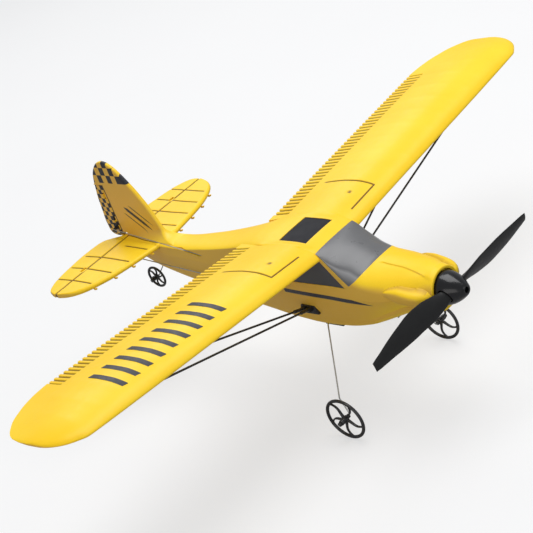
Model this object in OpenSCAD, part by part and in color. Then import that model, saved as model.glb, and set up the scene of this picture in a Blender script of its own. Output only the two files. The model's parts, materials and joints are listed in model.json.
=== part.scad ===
// Radio-controlled foam aeroplane: high wing, three channels, fixed tailwheel gear.
// +X forward (nose), +Y to port (left wing), +Z up. Millimetres.
// Parts are drawn about the middle of the wing's root leading edge, then moved
// so the origin is the middle of the gear plate's lower face.

/* [Wing] */
// Distance from the centreline to each wing tip
half_span = 308; // [260:1:340]
// Wing chord at the root
chord = 96; // [88:1:104]
// Rise of the wing per millimetre of span
dihedral = 0.088; // [0.06:0.002:0.1]
// Diameter of the carbon spar tube
spar_d = 4; // [3:0.5:5]

/* [Tail] */
// Distance from the centreline to each stabilizer tip
tail_half_span = 102; // [92:1:106]
// Thickness of the tail surfaces
tail_t = 5; // [4.6:0.1:5.4]
// Elevator hinge axis, distance behind the wing's root leading edge
elev_hinge = 275.5; // [275:0.1:276]
// Rudder hinge axis, distance behind the wing's root leading edge
rud_hinge = 283; // [282.6:0.1:283.4]
// Length of the elevator horn and of its servo arm
elev_arm_r = 12.5; // [11.5:0.1:13]
// Length of the rudder horn and of its servo arm
rud_arm_r = 9.5; // [9:0.1:10]

/* [Foam shell] */
// Wall of the foam fuselage shell
wall = 2.6; // [2.2:0.1:3]

/* [Drive] */
// Propeller diameter
prop_d = 210; // [180:1:220]
// Height of the propeller shaft axis, from the wing's root leading edge
shaft_z = -29.5; // [-30:0.1:-29]
// Gear tooth size (module)
gear_m = 0.4; // [0.4:0.01:0.42]
// Teeth on the motor pinion
pinion_t = 9; // [9:1:9]
// Teeth on the spur gear
spur_t = 45; // [45:1:45]

/* [Landing gear] */
// Main wheel radius
wheel_r = 19.7; // [17:0.1:21]
// Distance from the centreline to the middle of each main wheel
wheel_y = 70.4; // [68:0.1:74]
// Height of the main axles, from the wing's root leading edge
wheel_z = -123.8; // [-126:0.1:-120]
// Tail wheel radius
tail_wheel_r = 11.6; // [10:0.1:12]
// Landing gear wire diameter
wire_d = 1.2; // [1:0.1:1.4]

/* [Hidden] */
overlap = 0.01;
sides = [-1, 1]; // right, left

foam = "gold";
metal = "silver";
black = [0.1, 0.1, 0.1];
frame_black = [0.12, 0.12, 0.12];
servo_black = [0.12, 0.12, 0.14];
wheel_black = [0.13, 0.13, 0.13];
rod_black = [0.15, 0.15, 0.15];

// ---------- general shapes ----------
module box(corner, size) { translate(corner) cube(size); }
module x_cyl(start, r, length) { translate(start) rotate([0,90,0]) cylinder(h=length, r=r, $fn=48); }
module y_cyl(start, r, length) { translate(start) rotate([-90,0,0]) cylinder(h=length, r=r, $fn=48); }
module z_cyl(start, r, length, fn=32) { translate(start) cylinder(h=length, r=r, $fn=fn); }
// Round rod between two points
module rod(start, end, r) {
  run = end - start;
  length = norm(run);
  translate(start) rotate([0, acos(run.z/length), atan2(run.y, run.x)])
    cylinder(h=length, r=r, $fn=32);
}
// Rectangular bar between two points
module beam(start, end, width, height) {
  run = end - start;
  length = norm(run);
  translate(start) rotate([0, -asin(run.z/length), atan2(run.y, run.x)])
    translate([0,-width/2,-height/2]) cube([length,width,height]);
}
// Round wire through a list of points, with a ball at every point but the first
module bent_wire(path, r) {
  for (i=[1:len(path)-1]) {
    rod(path[i-1], path[i], r);
    translate(path[i]) sphere(r=r*1.12, $fn=24);
  }
}
// Prism centred on y = 0, its outline in the XZ plane
module side_prism(outline, half_width) {
  translate([0,half_width,0]) rotate([90,0,0]) linear_extrude(2*half_width) polygon(outline);
}
// Lowest y of a piece that starts at y on the left, or of its mirror image on the right
function low_y(y, width, side) = side > 0 ? y : -y-width;
// Point at a distance from start, towards end
function along(start, end, distance) = start + (end-start)/norm(end-start)*distance;

// ---------- skins over point grids ----------
function reversed(list) = [for (i=[len(list)-1:-1:0]) list[i]];
function turned(faces, flip) = flip ? [for (f=faces) reversed(f)] : faces;
function flat(rows) = [for (row=rows) for (p=row) p];
function quad(a, b, c, d) = [[a,b,c], [a,c,d]];
// Skin over rings of equal length; the caps are given as faces
module loft(rings, caps, flip=false) {
  n = len(rings[0]);
  walls = [for (j=[0:len(rings)-2]) for (i=[0:n-1])
    let (next=(i+1)%n)
    for (f=quad(j*n+i, j*n+next, (j+1)*n+next, (j+1)*n+i)) f];
  polyhedron(flat(rings), turned(concat(walls, caps), flip), convexity=6);
}
// Loft over C-shaped rings: an outer line, then the inner line back
module c_loft(rings, flip=false) {
  n = len(rings[0]);
  last = (len(rings)-1)*n;
  caps = [for (i=[0:n/2-2])
    for (f=concat(quad(i, n-1-i, n-2-i, i+1),
                  quad(last+i, last+i+1, last+n-2-i, last+n-1-i))) f];
  loft(rings, caps, flip);
}
// Curved sheet between a grid of outer points and the matching inner points
module sheet(outer, inner) {
  m = len(outer);
  n = len(outer[0]);
  N = m*n;
  surfaces = [for (j=[0:m-2]) for (i=[0:n-2])
    let (a=j*n+i, d=a+n)
    for (f=concat(quad(a, a+1, d+1, d), quad(N+a, N+d, N+d+1, N+a+1))) f];
  row_ends = [for (i=[0:n-2])
    let (k=N-n+i)
    for (f=concat(quad(i+1, i, N+i, N+i+1), quad(k, k+1, N+k+1, N+k))) f];
  column_ends = [for (j=[0:m-2])
    let (a=j*n, b=a+n, c=b-1, d=c+n)
    for (f=concat(quad(a, b, N+b, N+a), quad(d, c, N+c, N+d))) f];
  polyhedron(concat(flat(outer), flat(inner)),
    concat(surfaces, row_ends, column_ends), convexity=4);
}

// ---------- body surface: [x, value] ----------
// Half width at the shoulder, where the side meets the top curve
shoulder_y = [[-280,2.6],[-262,5.5],[-240,9],[-220,11.3],[-200,12.3],[-160,14.6],[-120,17.6],
  [-95,19.5],[-80,22],[-62,25],[-31,26],[-4,25.5],[10,27.2],[24,28.8],[38,28.8],[52,28.3],
  [66,26.3],[80,23],[91,18.6],[98,17.5]];
shoulder_z = [[-280,-15.2],[-262,-15.2],[-240,-15.3],[-220,-15.4],[-200,-15.4],[-160,-11],
  [-120,-4],[-95,1.5],[-80,6],[-62,10.2],[-31,11.6],[-4,8],[10,-5],[24,-18.5],[38,-22],
  [52,-24],[66,-25.5],[80,-27.5],[91,-28.6],[98,-28.5]];
// Height of the top centreline
crown_z = [[-280,-13.2],[-262,-12.8],[-240,-12.6],[-220,-12],[-200,-11.8],[-160,-7.4],
  [-120,0],[-95,6.3],[-80,10],[-62,12.2],[-31,12.9],[-20,12.4],[-4,9],[10,3.5],[24,-2.3],
  [38,-8],[52,-8.6],[66,-9.2],[80,-10.3],[91,-11.6],[98,-12]];
// Half width and height of the waist, the point on the side between shoulder and chine
waist_y = [[-280,3],[-262,6],[-240,9.3],[-220,11.5],[-200,12.8],[-160,15.6],[-120,19],
  [-95,21.5],[-62,25.6],[-31,27.2],[-4,28],[24,29.3],[38,29.3],[52,29.2],[66,29.5],
  [80,29.5],[91,25.5],[98,18.2]];
waist_z = [[-280,-17],[-262,-19],[-240,-21],[-220,-22],[-200,-23],[-160,-24],[-120,-26],
  [-95,-28],[-62,-30],[24,-31],[52,-30],[66,-29],[98,-29.5]];
// Half width and height of the chine, where the side meets the belly curve
chine_y = [[-280,2.4],[-262,4],[-240,6],[-220,7.5],[-200,8.5],[-160,11],[-120,14],[-95,16],
  [-62,19],[-31,20.5],[-4,21],[24,21.5],[38,20.8],[52,19.5],[66,18.4],[80,17.6],[98,17.5]];
chine_z = [[-280,-24],[-262,-31],[-240,-38],[-220,-42],[-200,-46],[-160,-52.5],[-120,-59],
  [-95,-61],[-62,-63],[-31,-64.5],[-4,-63],[24,-57],[38,-51.5],[52,-45.5],[66,-40],
  [80,-35.5],[98,-30.5]];
// Height of the bottom centreline
keel_z = [[-280,-27],[-262,-35],[-240,-43.5],[-220,-48],[-200,-52],[-160,-58.5],[-120,-65],
  [-95,-68.3],[-71,-70.8],[-35,-72.6],[-2,-71],[24,-66],[38,-61.3],[52,-56],[66,-50.8],
  [80,-47.8],[98,-47]];
// Wall thickness: thick at the nose ring, thin at the tail
wall_at = [[-280,1.6],[-262,2],[-240,wall],[80,wall],[84,7],[98,9]];
body_stations = [-280,-262,-240,-220,-200,-160,-120,-95,-62,-31,-4,10,24,38,52,66,80,84,91,98];
crown_angles = [0, 32, 62, 90];
belly_angles = [0, 34, 64, 90];
belly_power = 0.8; // squareness of the belly curve

// Half a body section, from the top centreline round to the bottom centreline
function half_section(x, inset, side) =
  let (top_y = lookup(x,shoulder_y)-inset,
       base_z = lookup(x,shoulder_z)-min(inset,2.6)*0.3,
       top_z = lookup(x,crown_z)-inset,
       low_z = lookup(x,chine_z),
       low_half = lookup(x,chine_y)-inset,
       bottom_z = lookup(x,keel_z)+inset)
  concat(
    [for (a=crown_angles) [x, side*top_y*sin(a), base_z+(top_z-base_z)*cos(a)]],
    [[x, side*(lookup(x,waist_y)-inset), lookup(x,waist_z)]],
    [for (a=belly_angles) [x, a==90 ? 0 : side*low_half*pow(cos(a),belly_power),
                           low_z-(low_z-bottom_z)*pow(sin(a),belly_power)]]);
function shell_ring(x, side) =
  concat(half_section(x,0,side), reversed(half_section(x,lookup(x,wall_at),side)));
// Half width of the body at height z, on the side or above the shoulder
function body_half_width(x, z) =
  let (top=lookup(x,shoulder_y), top_z=lookup(x,shoulder_z))
  z >= top_z ? top : top+(lookup(x,waist_y)-top)*(top_z-z)/(top_z-lookup(x,waist_z));
// Height of the top and of the bottom surface at x, y
function body_top(x, y) =
  let (base=lookup(x,shoulder_z))
  base+(lookup(x,crown_z)-base)*sqrt(max(0,1-pow(y/lookup(x,shoulder_y),2)));
function body_bottom(x, y) =
  let (low=lookup(x,chine_z), c=pow(abs(y)/lookup(x,chine_y),1/belly_power))
  low-(low-lookup(x,keel_z))*pow(sqrt(max(0,1-c*c)),belly_power);

// ---------- openings in the body ----------
// Side views of the windshield and window openings: [x, z]
windshield_cut = [[-3.5,8],[24,-18.5],[30,-14.6],[35,-10.4],[38,-7.6],[40,20],[-3.5,20]];
window_cut = [[-2.6,2.4],[19.2,-21.2],[-46,-22.8],[-58,-14],[-58,-3],[-50,0.5]];
roof_x0 = -86;
roof_x1 = -3.5;
roof_z0 = 3;
hatch_x0 = -6;
hatch_x1 = 52;
hatch_w = 13; // half width
hatch_gap = 0.4;
hatch_pin = [hatch_x1-1.2, 0, lookup(hatch_x1,keel_z)+1.1];

// ---------- linkage places ----------
tail_z = -15; // middle plane of the stabilizer
// Pushrod ends: at the horn, and at the servo arm
elev_horn_end = [-elev_hinge, -14.2, tail_z-elev_arm_r];
elev_arm_x = -55;
elev_arm_end = [elev_arm_x, elev_horn_end.y, elev_horn_end.z-0.097*(elev_arm_x+elev_hinge)];
rud_horn_end = [-rud_hinge, -rud_arm_r, -4];
rud_arm_x = -88;
rud_run = rud_arm_x+rud_hinge;
rud_arm_end = [rud_arm_x, rud_horn_end.y-0.035*rud_run, rud_horn_end.z-0.1209*rud_run];
// Servo shafts: the elevator's lies along Y, the rudder's along Z
elev_servo_x = elev_arm_end.x;
elev_servo_z = elev_arm_end.z+elev_arm_r;
rud_servo_x = rud_arm_end.x;
rud_servo_y = rud_arm_end.y+rud_arm_r;
rud_servo_z = rud_arm_end.z;

// ---------- fuselage ----------
module pushrod_channels() {
  elev_lift = [0,0,0.4];
  rud_shift = [0,0.35,1.4];
  beam(along(elev_arm_end, elev_horn_end, 45)+elev_lift,
       along(elev_arm_end, elev_horn_end, 150)+elev_lift, 2.2, 3.4);
  beam(along(rud_arm_end, rud_horn_end, 28)+rud_shift,
       along(rud_arm_end, rud_horn_end, 140)+rud_shift, 3.2, 2.2);
}
module shell_cuts() {
  side_prism(windshield_cut, 40);
  side_prism(window_cut, 40);
  box([roof_x0,-40,roof_z0], [roof_x1-roof_x0,80,30]);
  pushrod_channels();
  box([hatch_x0-hatch_gap,-hatch_w-hatch_gap,-80],
      [hatch_x1-hatch_x0+2*hatch_gap,2*(hatch_w+hatch_gap),40]);
  // nose recess and shaft hole
  x_cyl([94.5,0,shaft_z], 15.2, 10);
  x_cyl([70,0,shaft_z], 6, 40);
}
module stabilizer_slot() {
  rear_x = -rud_hinge-10;
  box([rear_x,-40,tail_z-tail_t/2-0.02], [-217-rear_x,80,tail_t/2+20]);
  box([rear_x,-40,-20.4], [rud_hinge+10-274.4,80,8]);
}
module fuselage_half(side) {
  difference() {
    c_loft([for (x=body_stations) shell_ring(x,side)], side<0);
    shell_cuts();
    stabilizer_slot();
  }
}
module fuselage_left() { color(foam) fuselage_half(1); }
module fuselage_right() { color(foam) fuselage_half(-1); }

// ---------- cabin ----------
roof_stations = [roof_x0+0.02,-80,-71,-62,-48,-31,-20,-12,roof_x1-0.02];
skylight_x = [-48.5,-40,-31,-24,-18.3];
skylight_y = [-17.9,-12,-6,0,6,12,17.9];
pane_gap = 0.1; // between a pane and its opening

function roof_line(x, inset) =
  let (half = lookup(x,shoulder_y)-inset,
       base_z = max(lookup(x,shoulder_z), roof_z0+0.8)-inset*0.15,
       top_z = lookup(x,crown_z)-inset,
       foot_y = body_half_width(x,roof_z0)-inset,
       foot_z = roof_z0+0.02)
  concat([[x,-foot_y,foot_z]],
         [for (a=[-90,-62,-32,0,32,62,90]) [x, half*sin(a), base_z+(top_z-base_z)*cos(a)]],
         [[x,foot_y,foot_z]]);
module cabin_roof() {
  color(foam) difference() {
    c_loft([for (x=roof_stations) concat(roof_line(x,0), reversed(roof_line(x,wall)))]);
    box([skylight_x[0]-pane_gap,skylight_y[0]-pane_gap,8],
        [skylight_x[4]-skylight_x[0]+2*pane_gap,2*(skylight_y[6]+pane_gap),10]);
  }
}
function skylight_grid(drop) = [for (x=skylight_x) [for (y=skylight_y) [x,y,body_top(x,y)-drop]]];
module skylight() { color([0.2,0.2,0.22]) sheet(skylight_grid(0.25), skylight_grid(1.5)); }

// Windshield point: u from the roof edge to the curved front edge, angle round the body
function windshield_point(u, angle, inset) =
  let (rear_x = -3.4,
       front_x = 24+14*pow(cos(angle),2.5),
       x = rear_x+(front_x-rear_x)*u,
       base_z = lookup(x,shoulder_z)-inset*0.5,
       top_z = lookup(x,crown_z)-inset)
  [x, (lookup(x,shoulder_y)-inset)*sin(angle), base_z+(top_z-base_z)*cos(angle)];
function windshield_grid(inset) = [for (u=[0.01,0.25,0.5,0.75,0.99])
  [for (a=[-89,-72,-54,-36,-18,0,18,36,54,72,89]) windshield_point(u,a,inset)]];
module windshield() {
  color([0.45,0.45,0.47]) sheet(windshield_grid(0.1), windshield_grid(1.2));
}

pane_outline = [for (p=window_cut)
  [p[0]+(p[0]>-20 ? -pane_gap : pane_gap), p[1]+(p[1]<-10 ? pane_gap : -pane_gap)]];
function window_point(p, side, inset) = [p[0], side*(body_half_width(p[0],p[1])-inset), p[1]];
// Each face of a pane is a fan round a middle point
module side_windows() {
  n = len(pane_outline);
  middle = [-20,-10];
  faces = [for (k=[0:n-1])
    let (l=(k+1)%n)
    for (f=concat([[k,l,2*n], [n+l,n+k,2*n+1]], quad(l, k, n+k, n+l))) f];
  color([0.25,0.25,0.27]) for (side=sides) {
    points = concat([for (p=pane_outline) window_point(p,side,0.2)],
                    [for (p=pane_outline) window_point(p,side,1.4)],
                    [window_point(middle,side,0.2), window_point(middle,side,1.4)]);
    polyhedron(points, turned(faces, side>0), convexity=4);
  }
}

// ---------- wing ----------
// The tables hold for a half span of 308 and a chord of 96, and are scaled from there
table_half_span = 308;
table_chord = 96;
wing_stations = [45, 90, 140, 190, 234, 253, 270, 281, 290, 297, 303, 306.5, 308];
// [span station, distance behind the root leading edge]
wing_front = [[0,0],[281,0],[290,4],[297,9],[303,17],[306.5,26],[308,38]];
wing_rear = [[0,96],[234,96],[253,94],[270,89.5],[281,84.5],[290,79.5],[297,73.5],[303,67],
  [306.5,60],[308,50]];
// [span station, thickness factor]
wing_thickness = [[0,1],[200,1],[253,0.9],[281,0.72],[290,0.6],[297,0.46],[303,0.32],
  [306.5,0.2],[308,0.1]];
// Section: [fraction of chord, height], upper side to the rear, then lower side forward
airfoil = [[0,0.4],[0.015,3.1],[0.05,5.9],[0.12,8.7],[0.2,10.5],[0.3,11.5],[0.42,11.2],
  [0.55,9.8],[0.7,7.4],[0.85,4.9],[1,2.9],
  [1,1.1],[0.8,0.3],[0.6,-0.3],[0.4,-0.9],[0.2,-1.4],[0.07,-1.4],[0.015,-0.9]];
thin_z = 2; // height in the section about which it thins
spar_length = 130; // along Y, each side

function wing_ring(station, side) =
  let (scale = chord/table_chord,
       y = station*half_span/table_half_span,
       front = lookup(station,wing_front)*scale,
       width = lookup(station,wing_rear)*scale-front)
  [for (p=airfoil) [-(front+width*p[0]), side*y,
                    dihedral*y+thin_z+(p[1]-thin_z)*lookup(station,wing_thickness)]];
// Root ring: lies against the body side
function root_ring(side) = [for (p=airfoil)
  let (x=-chord*p[0], y=body_half_width(x,p[1]+2)+0.03)
  [x, side*y, dihedral*y+p[1]]];
module wing_solid(side) {
  rings = concat([root_ring(side)], [for (y=wing_stations) wing_ring(y,side)]);
  n = len(airfoil);
  // root cap: a strip between the upper and the lower surface
  lower = [17,17,16,16,15,15,14,13,12,11];
  root_cap = concat([[0,17,1]], [for (k=[0:8])
    for (f = lower[k]==lower[k+1] ? [[k+1,lower[k],k+2]]
                                  : quad(k+1, lower[k], lower[k+1], k+2)) f]);
  tip_cap = [[for (i=[0:n-1]) (len(rings)-1)*n+i]];
  loft(rings, concat(root_cap, tip_cap), side<0);
}
function spar_point(y, side) = [-31, side*y, 5.2+dihedral*y];
module wing(side) {
  difference() {
    wing_solid(side);
    for (s=sides) rod(spar_point(0,s), spar_point(spar_length,s), spar_d/2+0.02);
  }
}
module wing_left() { color(foam) wing(1); }
module wing_right() { color(foam) wing(-1); }
module wing_spar() {
  spar_wall = 0.8;
  color(rod_black) union() for (side=sides) difference() {
    rod(spar_point(0,side)+[0,side*overlap,0], spar_point(spar_length,side), spar_d/2);
    rod(spar_point(0,side), spar_point(spar_length+1,side), spar_d/2-spar_wall);
  }
}

// ---------- tail ----------
// Edges for a tail half span of 102: [y, x]
stabilizer_edge = [[12,-221.5],[22,-223.5],[40,-227],[60,-232],[78,-239.5],[90,-247.5],
  [98,-258],[101.5,-268]];
elevator_edge = [[102,-277],[99,-284.5],[93,-290],[81,-295.5],[60,-299.5],[38,-301.8],
  [22,-301],[9.5,-291],[5,-283]];
// Side views: [x, z]
fin_front_x = -rud_hinge+2.3; // rear edge of the fin, in front of the rudder hinge
fin_outline = [[-214,-13.5],[-216.5,-9],[-219,-3.9],[-222,5],[-226.1,19],[-234,33.5],
  [-242.2,46.8],[-253.5,60.4],[-262.4,66.3],[-270,67.5],[-276,65.8],[-281.5,61.5],
  [-287.5,54],[-292.3,42.3],[fin_front_x,42.3],[fin_front_x,-12.5],[fin_front_x,-13.5]];
rudder_outline = [[-rud_hinge,41.7],[-292.6,41.7],[-297.1,25.4],[-299.3,11.7],[-301.1,-0.2],
  [-301,-9],[-297,-13.2],[-291.6,-14.6],[-rud_hinge,-14.2]];
elev_hinge_y = [-62, 62];
rud_hinge_z = [4, 30];
elev_half_t = tail_t/2-0.3;
rud_half_t = tail_t/2-0.4;
// Hinges: a tab with a round knuckle in a slot, on a pin in a bore
knuckle_w = 6;
knuckle_r = 1.5;
slot_w = 6.8;
pin_r = 0.5;
pin_length = 16;
bore_r = 0.55;
bore_length = 16.8;

function tail_y(y) = y*tail_half_span/102;
function tail_edge(edge, side) = [for (p=edge) [p[1], side*tail_y(p[0])]];
module stabilizer_plate() {
  rear_x = -elev_hinge+2.5;
  translate([0,0,tail_z-tail_t/2]) linear_extrude(tail_t)
    for (side=sides) polygon(concat([[-219,0]], tail_edge(stabilizer_edge,side),
                                    [[rear_x,side*tail_y(101.9)], [rear_x,0]]));
}
module elevator_hinge_cyl(y, r, length) { y_cyl([-elev_hinge,y-length/2,tail_z], r, length); }
module rudder_hinge_cyl(z, r, length, fn=32) {
  z_cyl([-rud_hinge,0,z-length/2], r, length, fn);
}
module stabilizer() {
  color(foam) difference() {
    union() {
      stabilizer_plate();
      for (y=elev_hinge_y) {
        box([-elev_hinge-0.2,y-knuckle_w/2,tail_z-knuckle_r], [6,knuckle_w,2*knuckle_r]);
        elevator_hinge_cyl(y, knuckle_r, knuckle_w);
      }
    }
    for (y=elev_hinge_y) elevator_hinge_cyl(y, pin_r, pin_length);
  }
}
module elevator() {
  end_y = tail_y(101.6);
  notch_x = -elev_hinge-4.4;
  color(foam) difference() {
    union() {
      translate([0,0,tail_z-elev_half_t]) linear_extrude(2*elev_half_t)
        for (side=sides) polygon(concat([[-elev_hinge,0], [-elev_hinge,side*end_y]],
                                        tail_edge(elevator_edge,side),
                                        [[notch_x,side*0.01], [notch_x,0]]));
      elevator_hinge_cyl(0, elev_half_t, 2*end_y);
    }
    for (y=elev_hinge_y) {
      box([-elev_hinge-2.6,y-slot_w/2,-20], [8,slot_w,10]);
      elevator_hinge_cyl(y, bore_r, bore_length);
    }
  }
}
module elevator_hinge_pins() {
  color(metal) for (y=elev_hinge_y) elevator_hinge_cyl(y, pin_r, pin_length);
}
module fin() {
  color(foam) difference() {
    union() {
      side_prism(fin_outline, tail_t/2);
      for (z=rud_hinge_z) {
        box([-rud_hinge-0.2,-knuckle_r,z-knuckle_w/2], [6,2*knuckle_r,knuckle_w]);
        rudder_hinge_cyl(z, knuckle_r, knuckle_w, 48);
      }
    }
    for (z=rud_hinge_z) rudder_hinge_cyl(z, pin_r, pin_length);
    // room for the stabilizer, then for the elevator
    box([-300,-10,-30], [100,20,30+tail_z+tail_t/2+overlap]);
    box([-300,-10,-30], [27.4,20,20.4]);
  }
}
module rudder() {
  color(foam) difference() {
    union() {
      side_prism(rudder_outline, rud_half_t);
      z_cyl([-rud_hinge,0,-14.2], rud_half_t, 55.9, 48);
    }
    for (z=rud_hinge_z) {
      box([-rud_hinge-2.6,-10,z-slot_w/2], [8,20,slot_w]);
      rudder_hinge_cyl(z, bore_r, bore_length);
    }
  }
}
module rudder_hinge_pins() {
  color(metal) for (z=rud_hinge_z) rudder_hinge_cyl(z, pin_r, pin_length);
}

// ---------- horns and pushrods ----------
horn_t = 1.2;
horn_end_r = 1.5;
pushrod_r = 0.5;
module elevator_horn() {
  under_z = tail_z-tail_t/2;
  end_z = elev_horn_end.z;
  color(black) difference() {
    translate([0,elev_horn_end.y+2.6,0]) rotate([90,0,0]) linear_extrude(horn_t) union() {
      translate([-elev_hinge-6,under_z-0.7]) square([6.4,1]);
      polygon([[-elev_hinge-5,under_z], [-elev_hinge+0.3,under_z],
               [-elev_hinge+1.4,end_z-1], [-elev_hinge-1.4,end_z-1]]);
      translate([-elev_hinge,end_z]) circle(r=horn_end_r, $fn=32);
    }
    y_cyl([-elev_hinge,-20,end_z], bore_r, 12);
  }
}
module rudder_horn() {
  color(black) difference() {
    union() {
      translate([0,0,-4.6]) linear_extrude(horn_t) union() {
        polygon([[-rud_hinge-5,-rud_half_t], [-rud_hinge+0.1,-rud_half_t],
                 [-rud_hinge+1,-rud_arm_r], [-rud_hinge-1.4,-rud_arm_r]]);
        translate([-rud_hinge,-rud_arm_r]) circle(r=horn_end_r, $fn=32);
      }
      box([-rud_hinge-6.5,-tail_t/2-0.5,-7.5], [6.5,0.9,7]);
    }
    z_cyl([-rud_hinge,-rud_arm_r,-8], bore_r, 8);
  }
}
module elevator_pushrod() {
  color(rod_black) union() {
    rod(elev_horn_end, elev_arm_end, pushrod_r);
    y_cyl(elev_horn_end-[0,0.5,0], pushrod_r, 4.6);
    y_cyl(elev_arm_end-[0,0.5,0], pushrod_r, 4.2);
  }
}
module rudder_pushrod() {
  lift = [0,0,1.4];
  color(rod_black) union() {
    rod(rud_horn_end+lift, rud_arm_end+lift, pushrod_r);
    for (end=[rud_horn_end, rud_arm_end]) z_cyl(end-[0,0,2], pushrod_r, 3.9);
  }
}

// ---------- servos ----------
// Case and lug plate: length, depth along the shaft, width
servo_case = [17, 15, 8.4];
servo_lug = [23, 1.4, 8.4];
// Along X from the shaft
case_x = -5;
lug_x = -8;
servo_screw_x = [-6.6, 13.4];
servo_boss_r = 3.2;
servo_bore_r = 1.25;
module elevator_servo() {
  low_z = elev_servo_z-servo_case.z/2;
  color(servo_black) difference() {
    union() {
      box([elev_servo_x+case_x,-9,low_z], servo_case);
      box([elev_servo_x+lug_x,-6.5,low_z], servo_lug);
      y_cyl([elev_servo_x,-10.2,elev_servo_z], servo_boss_r, 2);
    }
    y_cyl([elev_servo_x,-11,elev_servo_z], servo_bore_r, 6);
    for (x=servo_screw_x) y_cyl([elev_servo_x+x,-10,elev_servo_z], 0.7, 8);
  }
}
module rudder_servo() {
  low_y = rud_servo_y-servo_case.z/2;
  color(servo_black) difference() {
    union() {
      box([rud_servo_x+case_x,low_y,rud_servo_z-19], [servo_case.x,servo_case.z,servo_case.y]);
      box([rud_servo_x+lug_x,low_y,rud_servo_z-8], [servo_lug.x,servo_lug.z,servo_lug.y]);
      z_cyl([rud_servo_x,rud_servo_y,rud_servo_z-5], servo_boss_r, 2.2, 48);
    }
    z_cyl([rud_servo_x,rud_servo_y,rud_servo_z-8], servo_bore_r, 6, 48);
    for (x=servo_screw_x) z_cyl([rud_servo_x+x,rud_servo_y,rud_servo_z-10], 0.7, 8, 24);
  }
}
module arm_outline(r) {
  difference() {
    union() {
      circle(r=2.6, $fn=48);
      polygon([[-2.4,0], [2.4,0], [1.4,-r], [-1.4,-r]]);
      translate([0,-r]) circle(r=1.5, $fn=32);
    }
    translate([0,-r]) circle(r=0.6, $fn=32);
    circle(r=0.5, $fn=32);
  }
}
module servo_arm(r) {
  union() {
    linear_extrude(1.4) arm_outline(r);
    translate([0,0,-3.2]) difference() {
      cylinder(r=1.2, h=3.3, $fn=48);
      z_cyl([0,0,-1], 0.5, 8);
    }
  }
}
module elevator_servo_arm() {
  color("white") translate([elev_servo_x,-10.4,elev_servo_z]) rotate([90,0,0])
    servo_arm(elev_arm_r);
}
module rudder_servo_arm() {
  color("white") translate([rud_servo_x,rud_servo_y,rud_servo_z-2]) servo_arm(rud_arm_r);
}
// Shank and head of each screw in the servo lugs
module servo_arm_screws() {
  shank_r = 0.65;
  head_r = 1.3;
  color(metal) for (x=servo_screw_x) {
    y_cyl([elev_servo_x+x,-9.4,elev_servo_z], shank_r, 6);
    y_cyl([elev_servo_x+x,-7.7,elev_servo_z], head_r, 1.15);
    z_cyl([rud_servo_x+x,rud_servo_y,rud_servo_z-11.5], shank_r, 6, 24);
    z_cyl([rud_servo_x+x,rud_servo_y,rud_servo_z-6.55], head_r, 1.1);
  }
}
module servo_tray() {
  cut_z = elev_servo_z-8;
  color([0.85,0.8,0.7]) difference() {
    box([-100,-12,elev_servo_z-6], [66,24,1.4]);
    box([rud_servo_x+case_x-0.3,rud_servo_y-4.5,cut_z], [servo_case.x+0.6,9,6]);
    beam(elev_arm_end+[6,0,0], elev_horn_end, 3.4, 4);
    box([elev_servo_x-9,-12.5,cut_z], [18,2.9,6]);
  }
}

// ---------- receiver and battery ----------
module receiver_board() {
  top_z = -48.8;
  color("darkgreen") union() {
    box([-28,-8,-50], [24,20,1.2]);
    box([-24,-4,top_z], [6,6,1.4]);
    box([-13,0,top_z], [5,8,1.6]);
    box([-27.5,5,top_z], [3,6,3.5]);
  }
}
module battery() {
  color([0.2,0.25,0.55]) union() {
    box([-3,-9,-47], [42,18,14]);
    box([39,-7,-45], [3,14,10]);
  }
}
module battery_strap() {
  color(black) difference() {
    box([11,-10.4,-48.4], [12,20.8,16.8]);
    box([10,-9.05,-47.05], [14,18.1,14.1]);
  }
}
module battery_lead() {
  lead_r = 0.9;
  bend = [-7,-3,-40];
  color("red") union() {
    rod([-3.4,-3,-40], bend, lead_r);
    translate(bend) sphere(r=lead_r, $fn=24);
    rod(bend, [-14,2,-38], lead_r);
    box([-23,-1.5,-41], [9.4,7,5]);
  }
}
function hatch_grid(lift) = [for (i=[0:6])
  let (x=hatch_x0+(hatch_x1-hatch_x0)*i/6)
  [for (j=[-4:4]) let (y=hatch_w*j/4) [x, y, body_bottom(x,y)+lift]]];
module battery_hatch() {
  color(foam) difference() {
    sheet(hatch_grid(wall), hatch_grid(0));
    y_cyl(hatch_pin-[0,20,0], bore_r, 40);
  }
}
module hatch_hinge_pin() { color(metal) union() { y_cyl(hatch_pin-[0,14.5,0], pin_r, 29); } }

// ---------- drive ----------
gear_centres = gear_m*(pinion_t+spur_t)/2;
motor_z = shaft_z-gear_centres;
shaft_r = 1.5;
plate_t = 1.8;
rear_plate_x = 63.7;
front_plate_x = 75;
module gear_outline(teeth) {
  pitch_r = gear_m*teeth/2;
  tip_r = pitch_r+0.9*gear_m;
  root_r = pitch_r-1.15*gear_m;
  // one tooth: [part of a tooth pitch, radius]
  tooth = [[-0.30,root_r], [-0.20,pitch_r], [-0.09,tip_r],
           [0.09,tip_r], [0.20,pitch_r], [0.30,root_r]];
  polygon([for (i=[0:teeth-1]) for (p=tooth)
    let (a=(i+p[0])*360/teeth) [p[1]*cos(a), p[1]*sin(a)]]);
}
module spur_gear() {
  color("white") difference() {
    union() {
      translate([67,0,shaft_z]) rotate([0,90,0]) linear_extrude(3) difference() {
        gear_outline(spur_t);
        circle(r=shaft_r, $fn=48);
        for (a=[0:60:300]) rotate(a+30) translate([5.3,0]) circle(r=1.6, $fn=32);
      }
      x_cyl([66,0,shaft_z], 2.6, 1);
    }
    x_cyl([60,0,shaft_z], shaft_r, 20);
  }
}
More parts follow.
